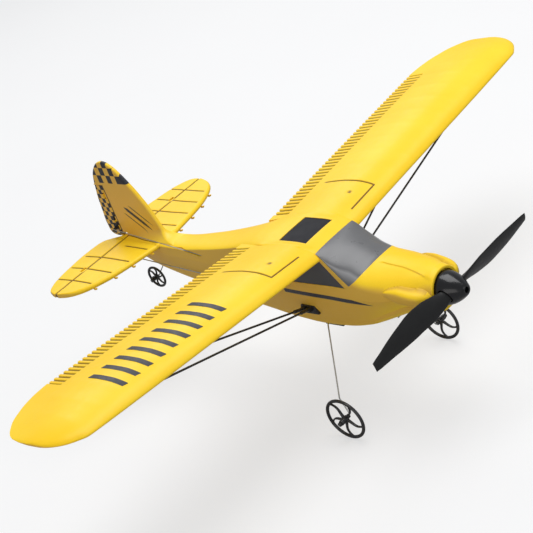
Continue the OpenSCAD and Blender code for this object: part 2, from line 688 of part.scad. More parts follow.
// Pinion and the motor shaft it sits on
module motor_pinion() {
  color("gold") translate([0,0,motor_z]) union() {
    translate([66.5,0,0]) rotate([0,90,0]) rotate([0,0,180+180/pinion_t]) linear_extrude(4)
      gear_outline(pinion_t);
    x_cyl([54,0,0], 0.5, 12.6);
  }
}
module motor() {
  color(metal) translate([0,0,motor_z]) difference() {
    union() {
      x_cyl([44,0,0], 6, 19);
      x_cyl([63,0,0], 2, 0.6);
    }
    x_cyl([53,0,0], 0.55, 20);
  }
}
module gearbox_frame() {
  color(frame_black) difference() {
    union() {
      box([rear_plate_x,-8,motor_z-6.4], [plate_t,16,gear_centres+18]);
      box([front_plate_x,-8,shaft_z-6.5], [plate_t,16,18.1]);
      for (side=sides) {
        // tie between the plates, and arm beside the motor
        box([rear_plate_x,low_y(6.2,1.8,side),shaft_z+10],
            [front_plate_x+plate_t-rear_plate_x,1.8,1.6]);
        box([46,low_y(6.4,1.5,side),motor_z-3], [17.8,1.5,6]);
      }
      box([front_plate_x,-15,shaft_z-3], [plate_t,30,6]);
    }
    x_cyl([60,0,shaft_z], 2.5, 20);
    x_cyl([60,0,motor_z], 2.6, 8);
  }
}
module shaft_bushes() {
  color("goldenrod") for (x=[rear_plate_x-0.5, front_plate_x-0.5]) difference() {
    x_cyl([x,0,shaft_z], 2.5, 2.8);
    x_cyl([x-1,0,shaft_z], 1.55, 6);
  }
}
module prop_shaft() {
  color(metal) union() {
    x_cyl([61,0,shaft_z], shaft_r, 46);
    x_cyl([62.3,0,shaft_z], 2.3, 0.7);
  }
}
// Blade for a diameter of 210: [distance from axis, width, thickness, pitch angle, sweep]
blade = [[5,9,6.2,38,0],[12,11,5,36,0],[22,14.6,3.8,31,-0.5],[36,18.6,2.8,25,-1.6],
  [52,19.2,2.2,20,-2.6],[68,17,1.8,16.5,-2.3],[84,13.3,1.5,14,-1.9],[96,10,1.3,12.5,-1.2],
  [105,8,1,12,-0.9]];
blade_points = 10;
function blade_ring(b) = [for (i=[0:blade_points-1])
  let (a=i*360/blade_points, u=cos(a)*b[1]/2+b[4], v=sin(a)*b[2]/2, pitch=b[3])
  [105.5+u*sin(pitch)+v*cos(pitch), b[0]*prop_d/210, u*cos(pitch)-v*sin(pitch)]];
module propeller() {
  last = (len(blade)-1)*blade_points;
  caps = [[for (i=[blade_points-1:-1:0]) i], [for (i=[0:blade_points-1]) last+i]];
  color(frame_black) difference() {
    translate([0,0,shaft_z]) union() {
      for (turn=[0,180]) rotate([turn,0,0]) loft([for (b=blade) blade_ring(b)], caps, true);
      x_cyl([100.5,0,0], 6.5, 9.5);
    }
    x_cyl([95,0,shaft_z], shaft_r, 20);
  }
}
// Spinner profiles: [radius, x]
spinner_outside = [[0,97],[14,97],[14.1,98.6],[13.6,102],[12.6,105.5],[11,109],[8.9,112.5],
  [6.4,115.8],[4,118],[3.4,118.3],[0,118.3]];
spinner_inside = [[0,98.6],[12.4,98.6],[12.2,101],[11.2,105.5],[9.4,109.5],[7.4,112],[0,112]];
module spinner() {
  color([0.08,0.08,0.08]) translate([0,0,shaft_z]) difference() {
    rotate([0,90,0]) rotate_extrude($fn=96) polygon(spinner_outside);
    rotate([0,90,0]) rotate_extrude($fn=96) polygon(spinner_inside);
    x_cyl([90,0,0], 2.2, 40);
    box([98.6,-20,-7.5], [14,40,15]); // blade slot
  }
}
module spinner_screw() {
  color(metal) union() {
    x_cyl([107.2,0,shaft_z], 1.3, 3);
    x_cyl([110.2,0,shaft_z], 3.2, 1.6);
  }
}

// ---------- landing gear ----------
gear_plate_base = [-27, 0, -74.6]; // middle of the lower face
gear_plate_size = [20, 26, 2.4];
gear_screw_places = [for (x=[-34,-20]) for (y=[-9,9]) [x,y,0]];
axle_x = 9.4;
tail_axle = [-262, 0, -61];
tail_wire_r = 0.5;
module gear_plate() {
  color(frame_black) difference() {
    box(gear_plate_base-[gear_plate_size.x/2,gear_plate_size.y/2,0], gear_plate_size);
    for (p=gear_screw_places) z_cyl(p-[0,0,80], 0.85, 12);
  }
}
module gear_screws() {
  screw_r = 0.83;
  color(metal) for (p=gear_screw_places) {
    z_cyl(p-[0,0,74.4], screw_r, 7.4);
    z_cyl(p-[0,0,73.4], screw_r, 1);
  }
}
module main_gear_wire() {
  r = wire_d/2;
  inner_y = wheel_y-6.4;
  axle_length = 13.8;
  top = [gear_plate_base.x, -69]; // x, z
  color(metal) for (side=sides) union() {
    bent_wire([[top[0],side*1.2,top[1]], [top[0],side*20,top[1]], [2,side*62,-110],
               [axle_x,side*inner_y,wheel_z]], r);
    y_cyl([axle_x,low_y(inner_y,axle_length,side),wheel_z], r, axle_length);
  }
}
// Wheel about the Y axis; rim is the diameter of the rim's round section
module wheel(radius, rim, spoke_w, hub_r, hub_length, bore, spokes) {
  difference() {
    union() {
      rotate([90,0,0]) rotate_extrude($fn=96) translate([radius-rim/2,0])
        circle(r=rim/2, $fn=24);
      for (i=[0:spokes-1]) rotate([0,i*360/spokes,0])
        box([-spoke_w/2,-0.7,hub_r-0.5], [spoke_w,1.4,radius-rim-hub_r+1]);
      y_cyl([0,-hub_length/2,0], hub_r, hub_length);
    }
    y_cyl([0,-hub_length,0], bore, 2*hub_length);
  }
}
module main_wheel(side) {
  translate([axle_x,side*wheel_y,wheel_z])
    wheel(radius=wheel_r, rim=2.4, spoke_w=1.3, hub_r=2.2, hub_length=9,
          bore=wire_d/2+0.06, spokes=5);
}
module wheel_left() { color(wheel_black) main_wheel(1); }
module wheel_right() { color(wheel_black) main_wheel(-1); }
module wheel_collars() {
  width = 1.8;
  color(black) for (side=sides) for (offset_y=[-6.7,4.9]) {
    start = [axle_x, low_y(wheel_y+offset_y,width,side), wheel_z];
    difference() {
      y_cyl(start, 1.6, width);
      y_cyl(start-[0,1,0], wire_d/2, 4);
    }
  }
}
module tail_gear_wire() {
  wire_y = 3.4;
  color(metal) union() {
    bent_wire([[-240,wire_y,-38], [-247,wire_y,-46], tail_axle+[0,wire_y,0]], tail_wire_r);
    y_cyl(tail_axle-[0,7.8,0], tail_wire_r, 11.2);
  }
}
module tail_wheel() {
  color(wheel_black) translate(tail_axle)
    wheel(radius=tail_wheel_r, rim=2.2, spoke_w=1.2, hub_r=1.7, hub_length=4.4,
          bore=0.56, spokes=6);
}
module tail_collar() {
  color(black) difference() {
    y_cyl(tail_axle-[0,7.6,0], 1.9, 5);
    y_cyl(tail_axle-[0,8.6,0], tail_wire_r, 8);
  }
}

// ---------- wing struts ----------
// Lower and upper ends on the left side, front strut first
strut_feet = [[-34,28.4,-49], [-40,28.4,-49]];
strut_tops = [[-16,222,15.6], [-58.8,222,16.2]];
function on_side(p, side) = [p.x, side*p.y, p.z];
module strut_brackets() {
  color(black) for (side=sides) union() {
    box([-46,low_y(22.6,2.6,side),-54.4], [19,2.6,7.2]);
    for (foot=strut_feet) box([foot.x-2,low_y(24,5.5,side),-51.5], [4,5.5,4]);
  }
}
module strut_rods() {
  color(black) for (side=sides) for (i=[0,1])
    rod(on_side(strut_feet[i],side), on_side(strut_tops[i],side), 0.9);
}
module strut_sockets() {
  color(black) for (side=sides) for (top=strut_tops) difference() {
    p = on_side(top, side);
    union() {
      box(p-[3,2,1.6], [6,4,3]);
      box(p+[-5,-4,1.2], [10,8,1.6]);
    }
    rod(p-[0,side*20,6.7], p, 0.92);
  }
}

module at_datum() { translate(-gear_plate_base) children(); }

at_datum() fuselage_left();
at_datum() fuselage_right();
at_datum() cabin_roof();
at_datum() windshield();
at_datum() side_windows();
at_datum() skylight();
at_datum() wing_left();
at_datum() wing_right();
at_datum() wing_spar();
at_datum() stabilizer();
at_datum() fin();
at_datum() elevator();
at_datum() rudder();
at_datum() elevator_hinge_pins();
at_datum() rudder_hinge_pins();
at_datum() elevator_horn();
at_datum() rudder_horn();
at_datum() elevator_pushrod();
at_datum() rudder_pushrod();
at_datum() elevator_servo();
at_datum() rudder_servo();
at_datum() elevator_servo_arm();
at_datum() rudder_servo_arm();
at_datum() servo_arm_screws();
at_datum() servo_tray();
at_datum() receiver_board();
at_datum() battery();
at_datum() battery_strap();
at_datum() battery_lead();
at_datum() battery_hatch();
at_datum() hatch_hinge_pin();
at_datum() motor();
at_datum() motor_pinion();
at_datum() gearbox_frame();
at_datum() shaft_bushes();
at_datum() prop_shaft();
at_datum() spur_gear();
at_datum() propeller();
at_datum() spinner();
at_datum() spinner_screw();
at_datum() gear_plate();
at_datum() gear_screws();
at_datum() main_gear_wire();
at_datum() wheel_left();
at_datum() wheel_right();
at_datum() wheel_collars();
at_datum() tail_gear_wire();
at_datum() tail_wheel();
at_datum() tail_collar();
at_datum() strut_brackets();
at_datum() strut_rods();
at_datum() strut_sockets();
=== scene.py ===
"""Yellow foam high-wing model aeroplane: body, wings, tail, propeller, wheels and linkages.

+X is forward to the propeller, +Y is the aeroplane's left and +Z is up. Lengths are in
millimetres from the datum, the wing root's leading edge on the centre plane, unless a
comment says metres. A `side` is 1 for the left (+Y) and -1 for the right.
"""
import bmesh
import bpy
import json
import math
import numpy as np
from mathutils import Matrix, Vector


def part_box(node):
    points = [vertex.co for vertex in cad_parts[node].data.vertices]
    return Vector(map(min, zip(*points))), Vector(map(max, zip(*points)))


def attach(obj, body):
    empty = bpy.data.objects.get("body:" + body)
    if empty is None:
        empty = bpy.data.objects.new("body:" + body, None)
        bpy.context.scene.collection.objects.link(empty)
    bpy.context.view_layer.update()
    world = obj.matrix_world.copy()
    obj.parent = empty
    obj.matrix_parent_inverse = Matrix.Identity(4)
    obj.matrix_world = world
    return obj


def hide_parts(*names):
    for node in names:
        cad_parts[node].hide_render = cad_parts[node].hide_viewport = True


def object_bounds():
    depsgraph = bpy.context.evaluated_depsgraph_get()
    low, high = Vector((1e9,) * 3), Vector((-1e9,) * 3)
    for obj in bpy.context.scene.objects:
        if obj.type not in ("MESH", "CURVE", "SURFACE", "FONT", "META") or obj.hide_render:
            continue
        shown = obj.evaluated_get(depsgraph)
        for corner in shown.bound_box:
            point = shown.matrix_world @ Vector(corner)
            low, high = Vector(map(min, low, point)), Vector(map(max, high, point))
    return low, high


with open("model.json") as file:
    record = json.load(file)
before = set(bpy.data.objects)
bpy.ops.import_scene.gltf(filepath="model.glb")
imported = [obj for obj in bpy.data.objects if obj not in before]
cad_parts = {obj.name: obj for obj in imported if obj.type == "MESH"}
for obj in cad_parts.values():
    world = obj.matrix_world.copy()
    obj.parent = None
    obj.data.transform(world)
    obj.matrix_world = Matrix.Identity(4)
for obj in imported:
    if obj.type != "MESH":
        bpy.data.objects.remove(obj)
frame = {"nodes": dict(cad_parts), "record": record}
bounds_after_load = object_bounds()

MM = 0.001
MAIN_AXLE_X, MAIN_WHEEL_Y, MAIN_AXLE_Z = 9.4, 70.4, -123.8
TAIL_AXLE_X, TAIL_AXLE_Z = -262, -61
PROP_AXIS_Z = -29.5

# The CAD's left wheel fixes the datum.
wheel_low, wheel_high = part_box("wheel_left")
DATUM = np.array([(wheel_low.x + wheel_high.x) / 2 * 1000 - MAIN_AXLE_X,
                  0.0,
                  (wheel_low.z + wheel_high.z) / 2 * 1000 - MAIN_AXLE_Z])


# ---------------------------------------------------------------- curves
def curve(points):
    """Monotone cubic through (x, value) points, so a profile is smooth and never overshoots."""
    xs, ys = np.array(sorted(points), float).T
    step = np.diff(xs)
    slope = np.diff(ys) / step
    tangent = np.zeros(len(xs))
    for i in range(1, len(xs) - 1):
        if slope[i - 1] * slope[i] > 0:
            weight_before = 2 * step[i] + step[i - 1]
            weight_after = step[i] + 2 * step[i - 1]
            tangent[i] = (weight_before + weight_after) / (
                weight_before / slope[i - 1] + weight_after / slope[i])
    tangent[0] = slope[0]
    tangent[-1] = slope[-1]

    def value(x):
        x = np.clip(np.asarray(x, float), xs[0], xs[-1])
        k = np.clip(np.searchsorted(xs, x, side="right") - 1, 0, len(step) - 1)
        t = (x - xs[k]) / step[k]
        return (ys[k] * (1 + 2 * t) * (1 - t) ** 2 + tangent[k] * step[k] * t * (1 - t) ** 2
                + ys[k + 1] * t * t * (3 - 2 * t) + tangent[k + 1] * step[k] * t * t * (t - 1))

    return value


def smooth_step(start, end, x):
    t = np.clip((np.asarray(x, float) - start) / (end - start), 0, 1)
    return t * t * (3 - 2 * t)


def edge_round(distance, radius):
    """Quarter-circle factor: 0 at an edge, 1 from one radius inward."""
    t = np.clip(distance / radius, 0, 1)
    return math.sqrt(max(0.0, 1 - (1 - t) ** 2))


def unit(vector):
    return vector / np.linalg.norm(vector)


# ---------------------------------------------------------------- mesh helpers
def add_object(name, data):
    ob = bpy.data.objects.new(name, data)
    bpy.context.scene.collection.objects.link(ob)
    return ob


def sharpen(ob, angle):
    ob.data.set_sharp_from_angle(angle=math.radians(angle))


def smooth(ob, angle):
    """Smooth shading, with edges over `angle` degrees kept sharp."""
    for polygon in ob.data.polygons:
        polygon.use_smooth = True
    sharpen(ob, angle)


def new_mesh(name, points, faces, smooth_faces=True):
    mesh = bpy.data.meshes.new(name)
    verts = (np.asarray(points, float) + DATUM) * MM
    mesh.from_pydata([tuple(v) for v in verts], [], [list(map(int, f)) for f in faces])
    mesh.validate()
    mesh.update()
    if smooth_faces:
        for polygon in mesh.polygons:
            polygon.use_smooth = True
    return add_object(name, mesh)


def fix_normals(ob):
    bm = bmesh.new()
    bm.from_mesh(ob.data)
    bmesh.ops.remove_doubles(bm, verts=bm.verts, dist=1e-6)
    bmesh.ops.dissolve_degenerate(bm, edges=bm.edges, dist=1e-7)
    bmesh.ops.recalc_face_normals(bm, faces=bm.faces)
    bm.to_mesh(ob.data)
    bm.free()
    ob.data.update()
    return ob


def outward(ob):
    """Flips a closed mesh when its faces point in."""
    bm = bmesh.new()
    bm.from_mesh(ob.data)
    if bm.calc_volume(signed=True) < 0:
        bmesh.ops.reverse_faces(bm, faces=bm.faces)
    bm.to_mesh(ob.data)
    bm.free()
    return ob


def grid_faces(rows, cols, close_rows=False, close_cols=False, first=0):
    faces = []
    for j in range(rows if close_rows else rows - 1):
        for i in range(cols if close_cols else cols - 1):
            here, ahead = first + j * cols, first + ((j + 1) % rows) * cols
            after = (i + 1) % cols
            faces.append((here + i, here + after, ahead + after, ahead + i))
    return faces


def ring_faces(rings, n):
    """Skin over a stack of rings of n points, with both ends capped."""
    last = (rings - 1) * n
    return grid_faces(rings, n, close_cols=True) + [
        tuple(range(n - 1, -1, -1)), tuple(last + k for k in range(n))]


def slab(name, one_side, other_side, angle=40):
    """Closed thin piece between two matching (rows, columns, 3) grids of points."""
    one_side = np.asarray(one_side, float)
    other_side = np.asarray(other_side, float)
    m, n = one_side.shape[:2]
    k = m * n
    faces = grid_faces(m, n) + [tuple(reversed(f)) for f in grid_faces(m, n, first=k)]
    last = (m - 1) * n
    for i in range(n - 1):
        faces.append((i + 1, i, k + i, k + i + 1))
        faces.append((last + i, last + i + 1, k + last + i + 1, k + last + i))
    for j in range(m - 1):
        a, b = j * n, (j + 1) * n
        faces.append((a, b, k + b, k + a))
        a, b = a + n - 1, b + n - 1
        faces.append((b, a, k + a, k + b))
    ob = new_mesh(name, np.concatenate([one_side.reshape(-1, 3), other_side.reshape(-1, 3)]), faces)
    fix_normals(ob)
    smooth(ob, angle)
    return ob


def tube(name, path, radius, n=16):
    """Round wire along a path; radius is one value or one per point."""
    path = np.asarray(path, float)
    tangents = np.gradient(path, axis=0)
    tangents /= np.linalg.norm(tangents, axis=1)[:, None]
    reference = np.array([0.0, 0.0, 1.0]) if abs(tangents[0][2]) < 0.9 else np.array([1.0, 0, 0])
    across = unit(np.cross(tangents[0], reference))
    verts = []
    for point, tangent, r in zip(path, tangents, np.broadcast_to(radius, len(path))):
        across = unit(across - tangent * (across @ tangent))
        normal = np.cross(tangent, across)
        for k in range(n):
            a = 2 * math.pi * k / n
            verts.append(point + r * (math.cos(a) * across + math.sin(a) * normal))
    ob = fix_normals(new_mesh(name, verts, ring_faces(len(path), n)))
    smooth(ob, 50)
    return ob


def bend_path(corners, radius):
    """Polyline with its corners rounded to the given bend radius."""
    corners = [np.array(c, float) for c in corners]
    rounded = [corners[0]]
    for before, corner, after in zip(corners, corners[1:], corners[2:]):
        back, on = before - corner, after - corner
        back_length, on_length = np.linalg.norm(back), np.linalg.norm(on)
        back, on = back / back_length, on / on_length
        angle = math.acos(np.clip(back @ on, -1, 1))
        trim = min(radius / math.tan(angle / 2), 0.45 * back_length, 0.45 * on_length)
        start, end = corner + back * trim, corner + on * trim
        for k in range(7):
            t = k / 6
            rounded.append((1 - t) ** 2 * start + 2 * t * (1 - t) * corner + t * t * end)
    rounded.append(corners[-1])
    path = [rounded[0]]
    for point in rounded[1:]:
        if np.linalg.norm(point - path[-1]) >= 0.05:
            path.append(point)
    return path


def lathe_x(name, profile, n, axis_z=0, angle=35, closed=False):
    """Revolves (x, radius) points about the line y = 0, z = axis_z; closed makes a ring."""
    verts = []
    for x, r in profile:
        for k in range(n):
            a = 2 * math.pi * k / n
            verts.append((x, r * math.cos(a), axis_z + r * math.sin(a)))
    if closed:
        faces = grid_faces(len(profile), n, close_rows=True, close_cols=True)
    else:
        faces = ring_faces(len(profile), n)
    ob = outward(fix_normals(new_mesh(name, verts, faces)))
    smooth(ob, angle)
    return ob


def move_points(ob, change):
    """Passes the mesh's points, measured from the datum, through a function."""
    mesh = ob.data
    points = np.array([v.co for v in mesh.vertices]) * 1000 - DATUM
    moved = (change(points) + DATUM) * MM
    mesh.vertices.foreach_set("co", moved.astype(np.float32).ravel())
    mesh.update()


def lathe_y(name, profile, centre, n, angle=40, closed=True):
    """Revolves (y, radius) points about the Y axis through centre."""
    ob = lathe_x(name, profile, n, angle=angle, closed=closed)
    move_points(ob, lambda points: np.array(centre) + points[:, [2, 0, 1]])
    return ob


def apply_modifiers(ob):
    bpy.context.view_layer.update()
    depsgraph = bpy.context.evaluated_depsgraph_get()
    mesh = bpy.data.meshes.new_from_object(ob.evaluated_get(depsgraph))
    old = ob.data
    ob.modifiers.clear()
    ob.data = mesh
    bpy.data.meshes.remove(old)


def cut(ob, cutter):
    """Takes the cutter away from the object and deletes the cutter."""
    modifier = ob.modifiers.new("cut", "BOOLEAN")
    modifier.object = cutter
    modifier.operation = "DIFFERENCE"
    modifier.solver = "EXACT"
    apply_modifiers(ob)
    bpy.data.objects.remove(cutter)


def add_bevel(ob, width, segments):
    modifier = ob.modifiers.new("bevel", "BEVEL")
    modifier.width = width * MM
    modifier.segments = segments
    return modifier


def join(name, parts):
    """One object from several meshes, keeping each one's shading."""
    merged = bmesh.new()
    for part in parts:
        merged.from_mesh(part.data)
    mesh = bpy.data.meshes.new(name)
    merged.to_mesh(mesh)
    merged.free()
    ob = add_object(name, mesh)
    for part in parts:
        bpy.data.objects.remove(part)
    return ob


def flat_solid(points, faces):
    return outward(fix_normals(new_mesh("solid", points, faces, False)))


BOX_FACES = [(0, 1, 3, 2), (4, 6, 7, 5), (0, 4, 5, 1), (2, 3, 7, 6), (0, 2, 6, 4), (1, 5, 7, 3)]


def box(x0, x1, y0, y1, z0, z1):
    return flat_solid([(x, y, z) for x in (x0, x1) for y in (y0, y1) for z in (z0, z1)], BOX_FACES)


def soft_box(x0, x1, y0, y1, z0, z1, bevel, segments=3):
    ob = box(x0, x1, y0, y1, z0, z1)
    add_bevel(ob, bevel, segments)
    apply_modifiers(ob)
    return ob


def prism(outline, low, high, axis="y"):
    """Extruded outline: (x, z) points along Y, or (x, y) points along Z."""
    n = len(outline)
    if axis == "y":
        points = [(p[0], level, p[1]) for level in (low, high) for p in outline]
    else:
        points = [(p[0], p[1], level) for level in (low, high) for p in outline]
    faces = [tuple(range(n)), tuple(range(2 * n - 1, n - 1, -1))]
    faces += [(k, n + k, n + (k + 1) % n, (k + 1) % n) for k in range(n)]
    return flat_solid(points, faces)


def soft_prism(outline, low, high, bevel, segments, axis="y"):
    ob = prism(outline, low, high, axis)
    add_bevel(ob, bevel, segments)
    apply_modifiers(ob)
    return ob


def rod_slot(front, rear, near, far, shift, width, height):
    """Beam along a pushrod's line, from `near` to `far` behind its front end."""
    along = unit(rear - front)
    ends = [front + along * distance + shift for distance in (near, far)]
    across = unit(np.cross([0, 0, 1.0], along))
    up = np.cross(along, across)
    return flat_solid([end + across * a * width / 2 + up * b * height / 2
                       for end in ends for a in (-1, 1) for b in (-1, 1)], BOX_FACES)


def store_shade(ob, values):
    """Per-point painted shade in the moulded lines, read by the foam material."""
    attribute = ob.data.attributes.new("shade", "FLOAT", "POINT")
    attribute.data.foreach_set("value", values.reshape(-1).astype(np.float32))


def place(ob, material, body, slot, *nodes):
    ob.data.materials.clear()
    ob.data.materials.append(material)
    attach(ob, body)
    if nodes:
        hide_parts(*nodes)


# ---------------------------------------------------------------- cheek bulge outline
# The bulge on each side of the nose is a band in (x, z). Its midline slopes down
# forward, it opens over CHEEK_RISE and closes over CHEEK_FADE.
CHEEK_START, CHEEK_RISE, CHEEK_RISE_POWER = 57.5, 14.0, 0.5
CHEEK_FADE_START, CHEEK_FADE, CHEEK_FADE_POWER = 86.0, 11.4, 2.4
CHEEK_HALF_HEIGHT = 6.7
CHEEK_MID_X, CHEEK_MID_Z, CHEEK_SLOPE = 72.0, -24.2, 0.185


# ---------------------------------------------------------------- materials
class Shader:
    """A new material with a Principled surface, and short calls that add nodes to it."""

    def __init__(self, name):
        self.material = bpy.data.materials.new(name)
        self.material.use_nodes = True
        self.tree = self.material.node_tree
        self.tree.nodes.clear()
        self.output = self.node("OutputMaterial")
        self.principled = self.node("BsdfPrincipled")
        self.feed(self.output.inputs[0], self.principled.outputs[0])
        self.coords = self.node("TexCoord").outputs["Object"]

    def feed(self, socket, value):
        """Links a socket or sets a value; a tuple is an RGB colour."""
        if isinstance(value, bpy.types.NodeSocket):
            self.tree.links.new(value, socket)
        elif isinstance(value, tuple):
            socket.default_value = (*value, 1)
        else:
            socket.default_value = value

    def fill(self, node, inputs):
        for name, value in inputs.items():
            self.feed(node.inputs[name.replace("_", " ")], value)

    def node(self, kind, **inputs):
        node = self.tree.nodes.new("ShaderNode" + kind)
        self.fill(node, inputs)
        return node

    def surface(self, **inputs):
        self.fill(self.principled, inputs)

    def noise(self, scale, detail=3, roughness=0.5):
        return self.node("TexNoise", Scale=scale, Detail=detail, Roughness=roughness,
                         Vector=self.coords).outputs["Fac"]

    def ramp(self, factor, stops):
        """Stops are (position, colour) or (position, grey)."""
        node = self.node("ValToRGB")
        elements = node.color_ramp.elements
        while len(elements) < len(stops):
            elements.new(0.5)
        for element, (position, colour) in zip(elements, stops):
            element.position = position
            element.color = (*(colour if isinstance(colour, tuple) else (colour,) * 3), 1)
        self.feed(node.inputs[0], factor)
        return node.outputs[0]

    def math(self, operation, first, second=None, clamp=False):
        node = self.node("Math")
        node.operation = operation
        node.use_clamp = clamp
        self.feed(node.inputs[0], first)
        if second is not None:
            self.feed(node.inputs[1], second)
        return node.outputs[0]

    def mix(self, factor, first, second, blend="MIX"):
        node = self.node("Mix")
        node.data_type = "RGBA"
        node.blend_type = blend
        for index, value in ((0, factor), (6, first), (7, second)):
            self.feed(node.inputs[index], value)
        return node.outputs[2]

    def mix_shader(self, factor, first, second):
        node = self.node("MixShader")
        for socket, value in zip(node.inputs, (factor, first, second)):
            self.feed(socket, value)
        return node.outputs[0]

    def rough(self, factor, low, high):
        self.surface(Roughness=self.ramp(factor, [(0.3, low), (0.7, high)]))

    def bump(self, height, strength, distance):
        """Distance is in metres."""
        node = self.node("Bump", Strength=strength, Distance=distance, Height=height)
        self.surface(Normal=node.outputs[0])

    def sideways(self):
        """How far the surface faces along Y, from 0 to 1."""
        normal = self.node("NewGeometry").outputs["Normal"]
        return self.math("ABSOLUTE", self.node("SeparateXYZ", Vector=normal).outputs[1])


FOAM_DEEP = (0.985, 0.615, 0.012)
FOAM_PALE = (1.0, 0.680, 0.028)
FOAM_PAINTED_SIDE_SHADE = (0.80, 0.47, 0.075)
FOAM_GROOVE_SHADE = (0.150, 0.070, 0.004)
CHEEK_EDGE_SHADE = (0.42, 0.20, 0.012)
INK_BLACK = (0.012, 0.013, 0.018)


def foam_colour(shader):
    """Painted bead foam: sets relief and roughness, returns the colour.

    Cells are faint, the yellow is mottled, faces turned along Y get painted shade (a duller
    tan) and the "shade" attribute paints shade into the moulded lines.
    """
    mottle = shader.noise(14, 3, 0.55)
    fine = shader.noise(240, 4, 0.6)
    base = shader.ramp(mottle, [(0.32, FOAM_DEEP), (0.68, FOAM_PALE)])
    cells = shader.node("TexVoronoi", Scale=420, Vector=shader.coords)
    cells.feature = "DISTANCE_TO_EDGE"
    cell_edge = cells.outputs["Distance"]
    edge_tint = shader.ramp(cell_edge, [(0.0, 0.955), (0.12, 1)])
    speckled = shader.mix(0.55, base, edge_tint, blend="MULTIPLY")
    shader.rough(fine, low=0.34, high=0.46)
    relief = shader.math("ADD", shader.math("MULTIPLY", cell_edge, 0.8),
                         shader.math("MULTIPLY", fine, 0.35))
    shader.bump(relief, strength=0.10, distance=0.0004)
    # painted shade in the moulded grooves, lines and hinge gaps, read from the "shade" attribute
    groove = shader.node("Attribute")
    groove.attribute_name = "shade"
    # painted shade: faces turned along Y are mixed toward a duller tan
    side = shader.ramp(shader.sideways(), [(0.72, 0), (0.96, 0.85)])
    skin = shader.mix(side, speckled, FOAM_PAINTED_SIDE_SHADE)
    return shader.mix(groove.outputs["Fac"], skin, FOAM_GROOVE_SHADE)


def cheek_edge_shade(shader, half_width=0.75):
    """Mask of painted shade along the thin moulded edge round the two cheek bulges."""
    m = shader.math
    position = shader.node("SeparateXYZ", Vector=shader.coords).outputs
    x = m("SUBTRACT", m("MULTIPLY", position[0], 1000.0), float(DATUM[0]))
    z = m("SUBTRACT", m("MULTIPLY", position[2], 1000.0), float(DATUM[2]))
    rise = m("DIVIDE", m("SUBTRACT", x, CHEEK_START), CHEEK_RISE, clamp=True)
    rise = m("POWER", rise, CHEEK_RISE_POWER)
    fade = m("DIVIDE", m("SUBTRACT", x, CHEEK_FADE_START), CHEEK_FADE, clamp=True)
    fade = m("POWER", fade, CHEEK_FADE_POWER)
    half_height = m("MULTIPLY", m("MULTIPLY", rise, CHEEK_HALF_HEIGHT),
                    m("SQRT", m("SUBTRACT", 1.0, fade, clamp=True)))
    half_height = m("ADD", half_height, 0.05)
    middle = m("SUBTRACT", CHEEK_MID_Z, m("MULTIPLY", m("SUBTRACT", x, CHEEK_MID_X), CHEEK_SLOPE))
    from_edge = m("ABSOLUTE", m("SUBTRACT", m("ABSOLUTE", m("SUBTRACT", z, middle)), half_height))
    line = m("SUBTRACT", 1.0, m("DIVIDE", from_edge, half_width), clamp=True)
    return m("MULTIPLY", line, m("MULTIPLY", m("GREATER_THAN", x, 57.6),
                                 m("LESS_THAN", x, 94.0)))


def foam():
    shader = Shader("foam_yellow_skin")
    colour = foam_colour(shader)
    # painted shade along the outline of the cheek bulges
    line = shader.math("MULTIPLY", cheek_edge_shade(shader), 0.6)
    shader.surface(Base_Color=shader.mix(line, colour, CHEEK_EDGE_SHADE), Specular_IOR_Level=0.20,
                   Coat_Weight=0.08, Coat_Roughness=0.25)
    return shader.material


def checked_foam(name, x0, z0, width, height, lowest, black_ahead=None):
    """Foam with black squares above `lowest`; all lengths in metres.

    The bottom row is solid black ahead of black_ahead, when given.
    """
    shader = Shader(name)
    m = shader.math
    colour = foam_colour(shader)
    x, _, z = shader.node("SeparateXYZ", Vector=shader.coords).outputs
    column = m("FLOOR", m("DIVIDE", m("SUBTRACT", x, x0), width))
    row = m("FLOOR", m("DIVIDE", m("SUBTRACT", z, z0), height))
    square = m("ADD", m("ADD", column, row), 0.0)
    black = m("LESS_THAN", m("ABSOLUTE", m("MODULO", square, 2.0)), 0.5)
    if black_ahead is not None:
        bottom_row = m("LESS_THAN", m("ABSOLUTE", row), 0.5)
        black = m("MAXIMUM", black, m("MULTIPLY", m("GREATER_THAN", x, black_ahead), bottom_row))
    mask = m("MULTIPLY", black, m("GREATER_THAN", z, lowest))
    ink = shader.mix(shader.noise(300), INK_BLACK, (0.03, 0.032, 0.042))
    shader.surface(Base_Color=shader.mix(mask, colour, ink))
    return shader.material


def ink(name, dark, light):
    shader = Shader(name)
    shader.surface(Base_Color=shader.mix(shader.noise(260, 4, 0.6), dark, light))
    shader.rough(shader.noise(500), low=0.36, high=0.5)
    shader.bump(shader.noise(900), strength=0.06, distance=0.0002)
    return shader.material


def smoked_film():
    """Smoked film with a painted reflection, a paler band where it turns down at the sides."""
    shader = Shader("smoked_film")
    base = shader.mix(shader.noise(30, 4, 0.6), (0.132, 0.133, 0.137), (0.146, 0.147, 0.151))
    # painted reflection: paler grey mixed in by how far the film faces along Y
    painted_sheen = shader.ramp(shader.sideways(),
                        [(0.50, 0), (0.60, 1), (0.78, 0.45), (0.97, 0.05)])
    shader.surface(Base_Color=shader.mix(painted_sheen, base, (0.285, 0.285, 0.29)))
    shader.rough(shader.noise(120, 4, 0.6), low=0.26, high=0.34)
    shader.bump(shader.noise(60, 2, 0.5), strength=0.02, distance=0.0001)
    return shader.material


def plastic(name, dark, light, rough, grain=400, bump=0.12, coat=0.0, bump_distance=0.0002,
            specular=0.5):
    """Mottled solid; rough is (low, high) and grain the noise scale of the roughness."""
    shader = Shader(name)
    shader.surface(Base_Color=shader.mix(shader.noise(grain * 0.25, 4, 0.6), dark, light))
    shader.rough(shader.noise(grain, 4, 0.6), *rough)
    shader.bump(shader.noise(grain * 2.2, 4, 0.6), bump, bump_distance)
    shader.surface(Coat_Weight=coat, Coat_Roughness=0.08, Specular_IOR_Level=specular)
    return shader.material


